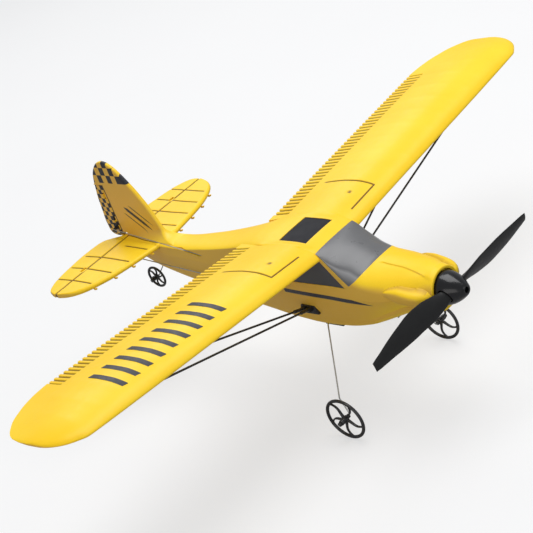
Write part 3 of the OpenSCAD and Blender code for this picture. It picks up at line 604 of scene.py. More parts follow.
def metal(name, dark, light, rough):
    shader = Shader(name)
    shader.coords = shader.node("Mapping", Vector=shader.coords).outputs[0]
    shader.surface(Base_Color=shader.mix(shader.noise(150, 4, 0.6), dark, light), Metallic=1.0)
    shader.rough(shader.noise(500, 4, 0.6), *rough)
    shader.bump(shader.noise(1000), strength=0.08, distance=0.0001)
    return shader.material


FOAM = foam()
INK = ink("decal_ink", dark=INK_BLACK, light=(0.028, 0.03, 0.042))
STRIPE_INK = ink("stripe_ink", dark=(0.030, 0.032, 0.040), light=(0.050, 0.052, 0.062))
GREY_FILM = smoked_film()
DARK_FILM = plastic("dark_film", dark=(0.018, 0.018, 0.021), light=(0.026, 0.026, 0.030),
                    rough=(0.40, 0.52), grain=120, bump=0.03, specular=0.06)
SIDE_FILM = plastic("side_film", dark=(0.058, 0.058, 0.061), light=(0.076, 0.076, 0.080),
                    rough=(0.30, 0.42), grain=90, bump=0.03, specular=0.4)
BLACK = plastic("black_nylon", dark=(0.010, 0.010, 0.011), light=(0.022, 0.022, 0.024),
                rough=(0.34, 0.48), grain=420, bump=0.14, coat=0.1)
GLOSS = plastic("gloss_black", dark=(0.005, 0.005, 0.006), light=(0.009, 0.009, 0.010),
                rough=(0.20, 0.28), grain=260, bump=0.03, coat=0.35, specular=0.3)
PROP_NYLON = plastic("prop_nylon", dark=(0.008, 0.008, 0.008), light=(0.013, 0.013, 0.013),
                     rough=(0.36, 0.46), grain=380, bump=0.08, specular=0.28)
WHITE = plastic("white_nylon", dark=(0.78, 0.77, 0.73), light=(0.86, 0.85, 0.81),
                rough=(0.4, 0.5), bump=0.1)
STEEL = metal("spring_steel", dark=(0.42, 0.42, 0.40), light=(0.58, 0.58, 0.55),
              rough=(0.26, 0.4))
BRASS = metal("brass_turned", dark=(0.60, 0.42, 0.16), light=(0.72, 0.52, 0.22),
              rough=(0.24, 0.36))
CARBON = plastic("carbon_tube", dark=(0.010, 0.010, 0.011), light=(0.03, 0.03, 0.032),
                 rough=(0.2, 0.34), grain=700, bump=0.1, coat=0.4)
WOOD = plastic("plywood_tray", dark=(0.42, 0.27, 0.13), light=(0.58, 0.40, 0.22),
               rough=(0.5, 0.66), grain=160, bump=0.2)
BOARD = plastic("circuit_board", dark=(0.010, 0.10, 0.035), light=(0.02, 0.16, 0.06),
                rough=(0.3, 0.45), grain=500, bump=0.2, coat=0.3)
CELL_WRAP = plastic("cell_wrap_blue", dark=(0.02, 0.05, 0.22), light=(0.03, 0.08, 0.3),
                    rough=(0.2, 0.3), grain=160, coat=0.5)
RED_LEAD = plastic("lead_silicone", dark=(0.45, 0.012, 0.01), light=(0.6, 0.02, 0.015),
                   rough=(0.4, 0.5), bump=0.1)
STRAP = plastic("hook_loop_strap", dark=(0.008, 0.008, 0.009), light=(0.03, 0.03, 0.03),
                rough=(0.75, 0.9), grain=900, bump=0.5, bump_distance=0.0006)

# ---------------------------------------------------------------- body shape
# Station x, then: half width and height of the shoulder, height of the crown, half width
# and height of the waist, half width and height of the lower edge, height of the keel.
# A gap (__) means that curve has no point at the station.
__ = None
BODY_STATIONS = [
    (-280, 2.6, -15.2, -13.2, 3, -17, 2.4, -24, -27),
    (-262, 5.5, -15.2, -12.8, 6, -19, 4, -31, -35),
    (-240, 9, -15.3, -12.6, 9.3, -21, 6, -38, -43.5),
    (-220, 11.3, -15.4, -12, 11.5, -22, 7.5, -42, -48),
    (-200, 12.3, -15.4, -11.8, 12.8, -23, 8.5, -46, -52),
    (-160, 14.6, -11, -7.4, 15.6, -24, 11, -52.5, -58.5),
    (-120, 17.6, -4, 0, 19, -26, 14, -59, -65),
    (-95, 19.5, 1.5, 6.3, 21.5, -28, 16, -61, -68.3),
    (-80, 22, 6, 10, __, __, __, __, __),
    (-71, __, __, __, __, __, __, __, -70.8),
    (-62, 25, 10.2, 12.2, 25.6, -30, 19, -63, __),
    (-35, __, __, __, __, __, __, __, -72.6),
    (-31, 26, 11.6, 12.9, 27.2, __, 20.5, -64.5, __),
    (-20, __, __, 12.4, __, __, __, __, __),
    (-4, 25.5, 8, 9, 28, __, 21, -63, __),
    (-2, __, __, __, __, __, __, __, -71),
    (10, 27.2, -5, 3.5, __, __, __, __, __),
    (24, 28.8, -18.5, -2.3, 29.3, -31, 21.5, -57, -66),
    (38, 28.8, -22, -8, 29.3, __, 20.8, -51.5, -61.3),
    (52, 28.3, -24, -8.6, 28.8, -30, 19.5, -45.5, -56),
    (66, 26.3, -25.5, -9.2, 26.8, -29, 18.4, -40, -50.8),
    (80, 23, -27.5, -10.3, 23.4, __, 17.6, -35.5, -47.8),
    (91, 18.6, -28.6, -11.6, 18.7, __, __, __, __),
    (98, 17.5, -28.5, -12, 17.5, -29.5, 17.5, -30.5, -47),
]
shoulder_y, shoulder_z, crown_z, waist_y, waist_z, lower_y, lower_z, keel_z = (
    curve([(row[0], row[c]) for row in BODY_STATIONS if row[c] is not None])
    for c in range(1, 9))
# (x, half width over the cheek bulges)
cheek_y = curve([(56, 27.6), (59, 28.7), (64, 29.4), (72, 29.7), (80, 29.5), (87, 28.4),
                 (92, 26.0), (95, 22.9), (97, 18.5)])
# x, then half width of the raised strip along the top of the nose
NOSE_STRIP = ([46, 52, 68, 87, 97], [5.2, 6, 7, 10, 12])
CROWN_COUNT = 40  # points from the centre line to the shoulder


def body_half_width(x, z):
    shoulder, top = shoulder_y(x), shoulder_z(x)
    slope = (waist_y(x) - shoulder) * (top - z) / (top - waist_z(x))
    return np.where(z >= top, shoulder, shoulder + slope)


def body_top(x, y):
    base = shoulder_z(x)
    return base + (crown_z(x) - base) * np.sqrt(np.maximum(0, 1 - (y / shoulder_y(x)) ** 2))


def body_bottom(x, y):
    lower = lower_z(x)
    c = (np.abs(y) / lower_y(x)) ** 1.25
    return lower - (lower - keel_z(x)) * np.maximum(0, 1 - c * c) ** 0.4


def add_cheek(x, points):
    """Pushes the (y, z) points inside the cheek band out to the bulge."""
    middle = CHEEK_MID_Z - (x - CHEEK_MID_X) * CHEEK_SLOPE
    rise = np.clip((x - CHEEK_START) / CHEEK_RISE, 0, 1) ** CHEEK_RISE_POWER
    fade = max(0.0, (x - CHEEK_FADE_START) / CHEEK_FADE) ** CHEEK_FADE_POWER
    half_height = CHEEK_HALF_HEIGHT * rise * math.sqrt(max(0.0, 1 - fade)) + 1e-3
    t = np.abs(points[:, 1] - middle) / half_height
    push = np.where(t < 1, (1 - np.clip(t, 0, 1) ** 2.6) ** 0.45, 0)
    y = points[:, 0]
    points[:, 0] = y + push * np.maximum(0, cheek_y(x) - y) * (y > 4)


def half_section(x, inset, cheek=False):
    """The +Y half of one body section, crown to keel, as (n, 3) points."""
    shoulder, waist, lower = shoulder_y(x) - inset, waist_y(x) - inset, lower_y(x) - inset
    crown_h, shoulder_h = crown_z(x) - inset, shoulder_z(x) - min(inset, 2.6) * 0.3
    waist_h, lower_h, keel_h = waist_z(x), lower_z(x), keel_z(x) + inset
    strip = min(float(np.interp(x, *NOSE_STRIP)), float(shoulder) * 0.8)
    if x > 30:
        # points gather at the edge of the raised strip
        a = np.concatenate([
            np.linspace(0, math.asin((strip - 0.55) / shoulder), 9),
            np.linspace(math.asin((strip + 0.25) / shoulder), math.pi / 2, CROWN_COUNT - 9)])
    else:
        a = np.linspace(0, math.pi / 2, CROWN_COUNT)
    crown = np.stack([shoulder * np.sin(a), shoulder_h + (crown_h - shoulder_h) * np.cos(a)], 1)
    if inset == 0 and x > 40:
        lift = float(smooth_step(39, 48, x)) * 0.85 * float(1 - smooth_step(93, 97, x))
        crown[:, 1] += lift * (1 - smooth_step(strip - 0.5, strip + 0.2, crown[:, 0]))
    u = np.linspace(0, 1, 16)[1:]
    upper_side = np.stack([shoulder + (waist - shoulder) * u ** 0.8,
                           shoulder_h + (waist_h - shoulder_h) * u], 1)
    u = np.linspace(0, 1, 22)[1:]
    swell = (waist - lower) * 0.10
    lower_side = np.stack([waist + (lower - waist) * u + swell * np.sin(u * math.pi),
                           waist_h + (lower_h - waist_h) * u], 1)
    a = np.linspace(0, math.pi / 2, 20)[1:]
    belly = np.stack([lower * np.maximum(np.cos(a), 0) ** 0.8,
                      lower_h - (lower_h - keel_h) * np.sin(a) ** 0.8], 1)
    points = np.concatenate([crown, upper_side, lower_side, belly])
    points[-1, 0] = 0
    if cheek and CHEEK_START < x < 97.5:
        add_cheek(x, points)
    return np.stack([np.full(len(points), x), points[:, 0], points[:, 1]], 1)


# ---------------------------------------------------------------- fuselage halves
NOSE_X = 97.0
ROOF_REAR, ROOF_FRONT = -86, -3.5
# (x, z) line where the windshield meets the nose in side view, rear to front
SCREEN_SILL = [(24, -18.5), (30, -14.6), (35, -10.4), (38, -7.6)]
SCREEN_OPENING = [(ROOF_FRONT, 8), *SCREEN_SILL, (40, 20), (ROOF_FRONT, 20)]
SIDE_OPENING = [(-2.6, 2.4), (19.2, -21.2), (-46, -22.8), (-58, -14), (-58, -3), (-50, 0.5)]
HATCH_REAR, HATCH_FRONT, HATCH_HALF, HATCH_GAP = -6, 52, 13, 0.4
# pushrod ends: at the horn and at the servo
ELEVATOR_HORN_END = np.array([-275.5, -14.2, -27.5])
ELEVATOR_SERVO_END = np.array([-55, -14.2, -48.8885])
RUDDER_HORN_END = np.array([-283, -9.5, -4.0])
RUDDER_SERVO_END = np.array([-88, -16.325, -27.5755])
# x, then wall thickness
BODY_WALL = ([-280, -262, -240, 80, 84, 98], [1.6, 2.0, 2.4, 2.4, 7, 8])


def nose_lip():
    """Sections that round the front edge in toward the propeller axis."""
    base = half_section(NOSE_X, 0)
    centre = np.array([0, PROP_AXIS_Z])
    offset = base[:, 1:] - centre
    radius = np.linalg.norm(offset, axis=1)[:, None]
    sections = []
    for angle in np.linspace(0, math.pi / 2, 7)[1:]:
        section = base.copy()
        shrink = 1.1 * (1 - math.cos(angle))
        section[:, 1:] = centre + offset * (radius - shrink) / radius
        section[:, 0] = NOSE_X + 1.0 * math.sin(angle)
        sections.append(section)
    return sections


def seam_faces(points, outer, inner):
    """Triangles between two lines of point indices, both running forward."""
    faces = []
    i = j = 0
    while i < len(outer) - 1 or j < len(inner) - 1:
        if j == len(inner) - 1 or (i < len(outer) - 1
                                   and points[outer[i + 1]][0] <= points[inner[j + 1]][0]):
            faces.append((outer[i], outer[i + 1], inner[j]))
            i += 1
        else:
            faces.append((outer[i], inner[j + 1], inner[j]))
            j += 1
    return faces


def fuselage_half(name, side):
    xs = np.unique(np.concatenate([np.linspace(-280, -90, 72), np.linspace(-90, 40, 62),
                                   np.linspace(40, 50, 8), np.linspace(50, NOSE_X, 64)]))
    outer = np.array([half_section(x, 0, cheek=True) for x in xs] + nose_lip())
    xs = np.unique(np.concatenate([np.linspace(-278.4, -90, 30), np.linspace(-90, 96.6, 46)]))
    inner = np.array([half_section(x, float(np.interp(x, *BODY_WALL))) for x in xs])
    rows_out, n = outer.shape[:2]
    rows_in = inner.shape[0]
    points = np.concatenate([outer.reshape(-1, 3), inner.reshape(-1, 3)])
    points[:, 1] *= side
    k = rows_out * n
    faces = grid_faces(rows_out, n)
    faces += [tuple(reversed(f)) for f in grid_faces(rows_in, n, first=k)]
    # strips on the centre plane: crown, then keel
    crown, keel = (seam_faces(points, [j * n + column for j in range(rows_out)],
                              [k + j * n + column for j in range(rows_in)])
                   for column in (0, n - 1))
    faces += crown + [tuple(reversed(f)) for f in keel]
    # rims at the tail and the nose
    out, back = (rows_out - 1) * n, k + (rows_in - 1) * n
    for i in range(n - 1):
        faces.append((i + 1, i, k + i, k + i + 1))
        faces.append((out + i, out + i + 1, back + i + 1, back + i))
    ob = outward(fix_normals(new_mesh(name, points, faces)))

    hatch_y = HATCH_HALF + HATCH_GAP
    cutters = [
        prism(SCREEN_OPENING, -40, 40),
        prism(SIDE_OPENING, -40, 40),
        box(ROOF_REAR, ROOF_FRONT, -40, 40, 3, 33),
        rod_slot(ELEVATOR_SERVO_END, ELEVATOR_HORN_END, 45, 150, [0, 0, .4], 2.2, 3.4),
        rod_slot(RUDDER_SERVO_END, RUDDER_HORN_END, 28, 140, [0, .35, 1.4], 3.2, 2.2),
        box(HATCH_REAR - HATCH_GAP, HATCH_FRONT + HATCH_GAP, -hatch_y, hatch_y, -80, -40),
        # seat of the tailplane, then a deeper step at its rear
        box(-293, -221.2, -40, 40, -17.52, 5),
        box(-293, -274.4, -40, 40, -20.4, -12),
        # round recess and bore in the nose
        lathe_x("cut", [(94.5, 15.2), (105, 15.2)], 64, PROP_AXIS_Z),
        lathe_x("cut", [(70, 6), (110, 6)], 40, PROP_AXIS_Z),
    ]
    for cutter in cutters:
        cut(ob, cutter)
    smooth(ob, 32)
    return ob


for node_name, side in (("fuselage_left", 1), ("fuselage_right", -1)):
    place(fuselage_half("skin_" + node_name, side), FOAM, "airframe", "foam_yellow", node_name)

# ---------------------------------------------------------------- cabin roof, panes, hatch
# x, then extra height of the roof near its side edges
ROOF_LIFT = ([-86, -80, -70, -62, -50, -40, -31, -20, -10, -5],
             [0, 0.3, 0.4, 0.15, 1.3, 1.8, 1.8, 1.9, 0.9, 0])
ROOF_FOOT_Z = 2.8


def roof_ring(x, inset):
    """Roof section from the right foot over the crown to the left foot."""
    half, crown = float(shoulder_y(x)) - inset, float(crown_z(x)) - inset
    base = max(float(shoulder_z(x)), 3.8) - inset * 0.15
    foot = float(body_half_width(x, 3.0)) - inset
    lift = float(np.interp(x, *ROOF_LIFT))
    points = [(x, -foot, ROOF_FOOT_Z)]
    for a in np.linspace(-math.pi / 2, math.pi / 2, 40):
        y = half * math.sin(a)
        raised = lift * float(smooth_step(17.5, 25.5, abs(y)))
        points.append((x, y, base + (crown - base) * math.cos(a) + raised))
    return points + [(x, foot, ROOF_FOOT_Z)]


def cabin_roof():
    xs = np.linspace(ROOF_REAR, ROOF_FRONT, 56)
    roof = outward(slab("skin_cabin_roof", [roof_ring(x, 0) for x in xs],
                        [roof_ring(x, 2.4) for x in xs], 32))
    cut(roof, box(-48.6, -18.2, -18, 18, 8, 20))
    smooth(roof, 32)
    return roof


def skylight():
    top = np.array([[(x, y, float(body_top(x, y)) - 0.45) for y in np.linspace(-17.9, 17.9, 24)]
                    for x in np.linspace(-48.5, -18.3, 16)])
    return slab("pane_skylight", top, top - [0, 0, 1.0])


def screen_front(angle):
    """Where the windshield meets the nose, by bisection, for one angle round the body."""
    low, high = SCREEN_SILL[0][0] + 0.0, 38.2
    cosine = max(0.0, math.cos(angle))
    sill_x, sill_z = zip(*SCREEN_SILL, (38.2, -4))
    for _ in range(40):
        x = (low + high) / 2
        base, crown = float(shoulder_z(x)), float(crown_z(x))
        if base + (crown - base) * cosine > float(np.interp(x, sill_x, sill_z)):
            low = x
        else:
            high = x
    return low


def screen_point(t, angle, inset, skirt=0.0):
    """Point from the rear (t = 0) to the front (t = 1); a skirt drops it below the shoulder."""
    x = ROOF_FRONT + (screen_front(angle) + 0.5 - ROOF_FRONT) * t
    half, base = float(shoulder_y(x)) - inset, float(shoulder_z(x)) - inset * 0.5
    crown = float(crown_z(x)) - inset
    if skirt:
        y = math.copysign(float(body_half_width(x, base - skirt)) - inset, angle)
        return (x, y, base - skirt)
    return (x, half * math.sin(angle), base + (crown - base) * max(0.0, math.cos(angle)))


def windshield():
    angles = np.radians(np.linspace(-89.8, 89.8, 72))

    def face(inset):
        return [[screen_point(t, angles[0], inset, 0.9)]
                + [screen_point(t, a, inset) for a in angles]
                + [screen_point(t, angles[-1], inset, 0.9)] for t in np.linspace(0.0, 1.0, 30)]

    return slab("pane_windshield", face(0.15), face(1.2), 40)


def side_pane(side):
    """Side window that follows the curved body side."""
    xs = np.linspace(-57.9, 19.1, 44)
    upper = np.interp(xs, [-57.9, -50, -2.7, 19.1], [-3.2, 0.3, 2.3, -21.1])
    lower = np.interp(xs, [-57.9, -46, 19.1], [-13.8, -22.6, -21.18])
    outer = np.array([[(x, side * (float(body_half_width(x, z)) - 0.35), z)
                       for z in (low + (high - low) * t for t in np.linspace(0, 1, 14))]
                      for x, low, high in zip(xs, lower, upper)])
    inner = outer.copy()
    inner[:, :, 1] -= side * 1.1
    return outward(slab("pane_side", outer, inner))


def battery_hatch():
    bottom = np.array([[(x, y, float(body_bottom(x, y)))
                        for y in np.linspace(-HATCH_HALF, HATCH_HALF, 26)]
                       for x in np.linspace(HATCH_REAR, HATCH_FRONT, 40)])
    return slab("skin_battery_hatch", bottom + [0, 0, 2.4], bottom, 32)


place(cabin_roof(), FOAM, "airframe", "foam_yellow", "cabin_roof")
place(skylight(), DARK_FILM, "airframe", "film_dark", "skylight")
place(windshield(), GREY_FILM, "airframe", "film_grey", "windshield")
place(join("pane_side_windows", [side_pane(1), side_pane(-1)]), SIDE_FILM, "airframe",
      "film_dark", "side_windows")
place(battery_hatch(), FOAM, "hatch", "foam_yellow", "battery_hatch")

# ---------------------------------------------------------------- wings
# (chord fraction, height) of the upper and under surfaces
AIRFOIL_TOP = [(0, .4), (.015, 3.1), (.05, 5.9), (.12, 8.7), (.2, 10.5), (.3, 11.5), (.42, 11.2),
               (.55, 9.8), (.7, 7.4), (.85, 4.9), (1, 2.9)]
AIRFOIL_UNDER = [(0, .4), (.015, -.9), (.07, -1.4), (.2, -1.4), (.4, -.9), (.6, -.3), (.8, .3),
                 (1, 1.1)]
# both are curves over the square root of the chord fraction
airfoil_top, airfoil_under = (curve([(math.sqrt(c), z) for c, z in table])
                              for table in (AIRFOIL_TOP, AIRFOIL_UNDER))
# against span: distance of each edge behind the datum, and relative thickness
wing_lead = curve([(0, 0), (281, 0), (290, 4), (297, 9), (303, 17), (306.5, 26), (308, 38)])
wing_trail = curve([(0, 96), (234, 96), (253, 94), (270, 89.5), (281, 84.5), (290, 79.5),
                    (297, 73.5), (303, 67), (306.5, 60), (308, 50)])
wing_thickness = curve([(0, 1), (200, 1), (253, .9), (281, .72), (290, .6), (297, .46),
                        (303, .32), (306.5, .2), (308, .1)])
DIHEDRAL = 0.088          # rise per unit of span
WING_ROOT_Y = 45.0        # inboard of this the skin blends into the body side
WING_TIP_START, WING_TIP = 281, 27
GROOVE_PITCH = 5.0        # ribbing along the trailing edge
GROOVES_END = 243.0
# thin moulded lines on the top: two (x, y) ends, half width
PANEL_LINES = [((-11, 36.5), (-11, 70), 0.95), ((-11, 70), (-68, 70), 0.95),
               ((-25.8, 53.8), (-24.2, 58.6), 1.15)]


def line_mask(start, end, points, half_width):
    """1 on the segment, falling to 0 at half_width from it."""
    start, end = np.array(start, float), np.array(end, float)
    along = end - start
    t = np.clip(((points - start) @ along) / (along @ along), 0, 1)
    distance = np.linalg.norm(points - start - t[..., None] * along, axis=-1)
    return np.maximum(0, 1 - distance / half_width)


def wing_line(fractions, airfoil, span, root_blend):
    """x, y and z along one chordwise line; root_blend runs from the body side (0) outward."""
    lead, trail = float(wing_lead(span)), float(wing_trail(span))
    x = -(lead + (trail - lead) * fractions)
    height = airfoil(np.sqrt(fractions))
    if root_blend is None:
        y = np.full(len(fractions), span)
    else:
        wall = body_half_width(x, height + 2) - 0.7
        y = wall + (span - wall) * root_blend
    return x, y, DIHEDRAL * y + 2 + (height - 2) * float(wing_thickness(span))


def wing_top(x, y):
    span = abs(y)
    lead, trail = float(wing_lead(span)), float(wing_trail(span))
    fraction = min(max((-x - lead) / (trail - lead), 0.0), 1.0)
    height = float(airfoil_top(math.sqrt(fraction)))
    return DIHEDRAL * span + 2 + (height - 2) * float(wing_thickness(span))


def wing(name, side):
    top_fractions = np.unique(np.round(np.concatenate([
        np.linspace(0, .32, 15) ** 2, np.linspace(.1035, .127, 9), np.linspace(.15, .78, 22),
        np.linspace(.793, .815, 6), np.linspace(.83, 1, 10)]), 5))
    under_fractions = np.concatenate([np.linspace(0, .3, 8)[1:] ** 2, np.linspace(.13, 1, 14)])
    spans = np.concatenate([
        np.arange(WING_ROOT_Y, GROOVES_END + 4, 0.625),
        np.linspace(GROOVES_END + 4.5, WING_TIP_START, 22),
        WING_TIP_START + WING_TIP * np.sin(np.linspace(0, math.pi / 2, 16))[1:]])
    lines = [(WING_ROOT_Y, blend) for blend in np.linspace(0, 1, 33)[:-1]]
    lines += [(span, None) for span in spans]
    rings, shades = [], []
    for span, blend in lines:
        x, y, z = wing_line(top_fractions, airfoil_top, span, blend)
        # ribbed band along the trailing edge, which also notches the edge itself
        band = (smooth_step(-76.6, -77.6, x) * smooth_step(25.5, 27.0, y)
                * smooth_step(GROOVES_END, GROOVES_END - 1.0, y))
        from_middle = np.abs((y / GROOVE_PITCH) % 1 - 0.5) * GROOVE_PITCH
        groove = np.clip(1.55 - from_middle / 0.88, 0, 1)
        room = np.clip((z - (DIHEDRAL * y + 1.5)) / 2.0, 0.3, 1.0)
        depth = band * (0.18 + 0.95 * groove * room)
        notch = (top_fractions > 0.995) * band * groove * 1.5
        x = x + notch
        plan = np.stack([x, y], 1)
        panel = np.maximum.reduce([line_mask(start, end, plan, half_width)
                                   for start, end, half_width in PANEL_LINES])
        depth = depth + 0.55 * np.minimum(1, panel * 1.6)
        # painted shade in the rib grooves and panel lines
        shade = np.maximum(band * groove * 0.95, np.minimum(1, panel * 2.2))
        # faint spanwise swells between the panel lines and the tip
        calm = (smooth_step(74, 78, y) * smooth_step(300, 280, y)
                * smooth_step(-3, -12, x) * smooth_step(-76, -68, x))
        depth = depth - 0.16 * calm * (0.5 + 0.5 * np.cos(2 * math.pi * (y - 74) / 20.5)) ** 3
        top = np.stack([x, side * y, z - depth], 1)
        x, y, z = wing_line(under_fractions, airfoil_under, span, blend)
        x[-1] = x[-1] + notch[-1]
        under = np.stack([x, side * y, z], 1)
        rings.append(np.concatenate([top, under[::-1]]))
        shades.append(np.concatenate([shade, np.zeros(len(under))]))
    rings = np.array(rings)
    ob = new_mesh(name, rings.reshape(-1, 3), ring_faces(*rings.shape[:2]))
    store_shade(ob, np.array(shades))
    outward(ob)
    smooth(ob, 38)
    return ob


for node_name, side in (("wing_left", 1), ("wing_right", -1)):
    place(wing("skin_" + node_name, side), FOAM, "airframe", "foam_yellow", node_name)

# ---------------------------------------------------------------- tail surfaces
RIBS = (20.3, 41.5, 60.9, 80.2)   # span of the moulded grooves, each side
TAIL_SPAN = 101.6
TAIL_Z = -15.0
ELEVATOR_HINGE_X = -275.5
ELEVATOR_HINGES_Y = (-62, 62)
RUDDER_HINGES_Z = (4, 30)
FIN_REAR = -280.7
RUDDER_TOP = 42.3                 # above this the fin reaches over the rudder
# (span, x)
stabilizer_lead = curve([(0, -221.5), (12, -221.5), (22, -223.5), (40, -227), (60, -232),
                         (78, -239.5), (90, -247.5), (98, -258), (101.6, -269)])
elevator_trail = curve([(0, -279.9), (1.6, -280.4), (5, -283.2), (9.5, -291), (15, -298.6),
                        (22, -301.0), (38, -301.8), (60, -299.5), (81, -295.5), (93, -290),
                        (99, -284.5), (101.6, -277.6)])
# (z, x)
fin_lead = curve([(-13.5, -196.0), (-12.2, -204.5), (-10.4, -210.8), (-7.6, -215.6),
                  (-3.9, -218.9), (5, -222.2), (19, -227.2), (33.5, -234.6), (46.8, -243.2),
                  (56, -250.2), (60.4, -254.2), (64.5, -259.6), (66.7, -264.4), (67.4, -268.0)])
fin_trail = curve([(42.3, -292.0), (54, -287.5), (61.5, -281.5), (65.8, -275.8), (67.0, -272.2),
                   (67.4, -270.4)])
rudder_trail = curve([(-14.6, -291.6), (-13.2, -297), (-9, -300.8), (-0.2, -301.1),
                      (11.7, -299.3), (25.4, -297.1), (41.5, -292.6)])


def rib_shade(x, span, front, back):
    """Painted shade in the rib grooves, between front(rib) and back; the inner rib stops early."""
    shade = np.zeros_like(x)
    for rib in RIBS:
        wavy = rib + 0.9 * np.sin((x + 230) / 22.0)
        end = back if rib > 30 else max(back, -262.0)
        start = front(rib)
        on = smooth_step(start - 1.5, start - 3.5, x) * smooth_step(end + 1.0, end + 3.0, x)
        shade = np.maximum(shade, on * np.clip(1.75 - np.abs(span - wavy) / 0.6, 0, 1))
    return shade


def fin_base(x):
    """Half width of the fin's root, where it spreads into the body's spine."""
    return 2.5 + np.maximum(shoulder_y(x) * 0.80 - 2.5, 0) * smooth_step(-278, -246, x)


def tail_spans():
    """Stations from tip to tip, denser at the root, the ribs and the tips."""
    spans = list(np.arange(0, TAIL_SPAN, 2.2)) + list(np.arange(2.6, 10.6, 0.5))
    for rib in RIBS:
        spans += list(np.arange(rib - 2.4, rib + 2.41, 0.4))
    spans += list(TAIL_SPAN - 6 * (1 - np.sin(np.linspace(0, math.pi / 2, 9))))
    spans = sorted(set(round(s, 3) for s in spans if s <= TAIL_SPAN))
    kept = [spans[0]]
    for s in spans[1:]:
        if s - kept[-1] > 0.12:
            kept.append(s)
    return np.array([-s for s in kept[:0:-1]] + kept)


def plate(name, stations, front, rear, half_thickness, middle=0.0, columns=30, shade=None,
          upright=False, depth=0.6):
    """Tail surface from spanwise stations and the x of its front and rear edges.

    half_thickness takes (x, station, front x, rear x). Upright swaps Y and Z.
    """
    upper, lower, shades = [], [], []
    for station in stations:
        a, b = float(front(station)), float(rear(station))
        x = a + (b - a) * (0.5 - 0.5 * np.cos(math.pi * np.linspace(0, 1, columns)))
        half = np.array([half_thickness(v, station, a, b) for v in x])
        # painted shade in the moulded lines; the same mask also sinks the surface
        dark = shade(x, np.full(columns, abs(station))) if shade else np.zeros(columns)
        half = half - np.minimum(depth * dark, 0.45 * half)
        across = np.full(columns, station)
        upper.append(np.stack([x, across, middle + half], 1))
        lower.append(np.stack([x, across, middle - half], 1))
        shades.append(dark)
    upper, lower, shades = np.array(upper), np.array(lower), np.array(shades)
    m, n = upper.shape[:2]
    ring = 2 * n
    points = np.concatenate([upper, lower[:, ::-1]], axis=1).reshape(-1, 3)
    faces = grid_faces(m, ring, close_cols=True)
    for row in (0, m - 1):
        o = row * ring
        for i in range(n - 1):
            face = (o + i, o + i + 1, o + ring - 2 - i, o + ring - 1 - i)
            faces.append(face if row == 0 else tuple(reversed(face)))
    if upright:
        points = points[:, [0, 2, 1]]
    ob = new_mesh(name, points, faces)
    store_shade(ob, np.concatenate([shades, shades[:, ::-1]], axis=1))
    outward(fix_normals(ob))
    smooth(ob, 42)
    return ob


def stabilizer_half(x, y, front, rear):
    edges = edge_round(abs(front - x) + 0.02, 3.2)
    return max(2.5 * edges * edge_round(103.2 - abs(y), 3.4), 0.12)


# Painted shade in the rib grooves, along the hinge line and along the fin's root.
def stabilizer_shade(x, span):
    root_line = np.clip(1.7 - np.abs(span - fin_base(x) - 0.5) / 0.5, 0, 1)
    return np.maximum.reduce([
        rib_shade(x, span, lambda rib: float(stabilizer_lead(rib)) - 2.0, -275.5),
        smooth_step(-271.5, -272.1, x),
        root_line * smooth_step(-223.5, -225.5, x)])


def rib_nub(x, y):
    """Small tab under the leading edge at a rib's end."""
    path = [(x + 1.6, y, -16.6), (x + 0.2, y, -17.6), (x - 2.2, y, -18.2), (x - 4.2, y, -17.3)]
    return tube("nub", path, [0.55, 0.95, 1.0, 0.5], 10)


def hinge_knuckle(y):
    """Solid round barrel along Y on the hinge line."""
    barrel = lathe_x("knuckle", [(-3, 1.5), (3, 1.5)], 28)
    move_points(barrel, lambda points: [ELEVATOR_HINGE_X, y, TAIL_Z] + points[:, [1, 0, 2]])
    return outward(barrel)


def stabilizer():
    # The joined piece takes the same name while the plate still holds it, so Blender
    # adds a numbered suffix, which is part of the final name.
    parts = [plate("skin_stabilizer", tail_spans(), lambda y: stabilizer_lead(abs(y)),
                   lambda y: -273.0, stabilizer_half, TAIL_Z, shade=stabilizer_shade)]
    parts += [rib_nub(float(stabilizer_lead(rib)) + 0.6, side * rib)
              for rib in RIBS for side in (-1, 1)]
    for y in ELEVATOR_HINGES_Y:
        parts.append(hinge_knuckle(y))
        parts.append(box(ELEVATOR_HINGE_X, -272.2, y - 2.9, y + 2.9, -16.4, -13.6))
    return join("skin_stabilizer", parts)


def elevator_half(x, y, front, rear):
    taper = 2.2 - 1.0 * np.clip((-280 - x) / 24, 0, 1)
    edges = edge_round(front - x + 0.02, 2.2) * edge_round(x - rear + 0.05, 1.6)
    return max(taper * edges * edge_round(103.0 - abs(y), 3.0), 0.12)


# Painted shade in the rib grooves and along the hinge line.
def elevator_shade(x, span):
    ribs = rib_shade(x, span, lambda rib: -270.0, -298.5) * (span > 30)
    return np.maximum(ribs, smooth_step(-274.9, -274.2, x))


def elevator():
    ob = plate("skin_elevator", tail_spans(), lambda y: -273.3,
               lambda y: elevator_trail(abs(y)), elevator_half, TAIL_Z, shade=elevator_shade)
    for y in ELEVATOR_HINGES_Y:
        cut(ob, box(-278.1, -270, y - 3.4, y + 3.4, -20, -10))
    smooth(ob, 42)
    return ob


def fin_half(x, z, front, rear):
    back = edge_round(x - rear + 0.05, 1.8) if z > RUDDER_TOP else 1.0
    taper = 2.5 - 0.7 * np.clip((z - 40) / 28, 0, 1)
    taper += (float(fin_base(x)) - 2.5) * min(1.0, max(0.0, (-1.5 - z) / 11.5)) ** 1.8
    return max(taper * edge_round(front - x + 0.02, 3.4) * back * edge_round(68.3 - z, 4.0), 0.12)


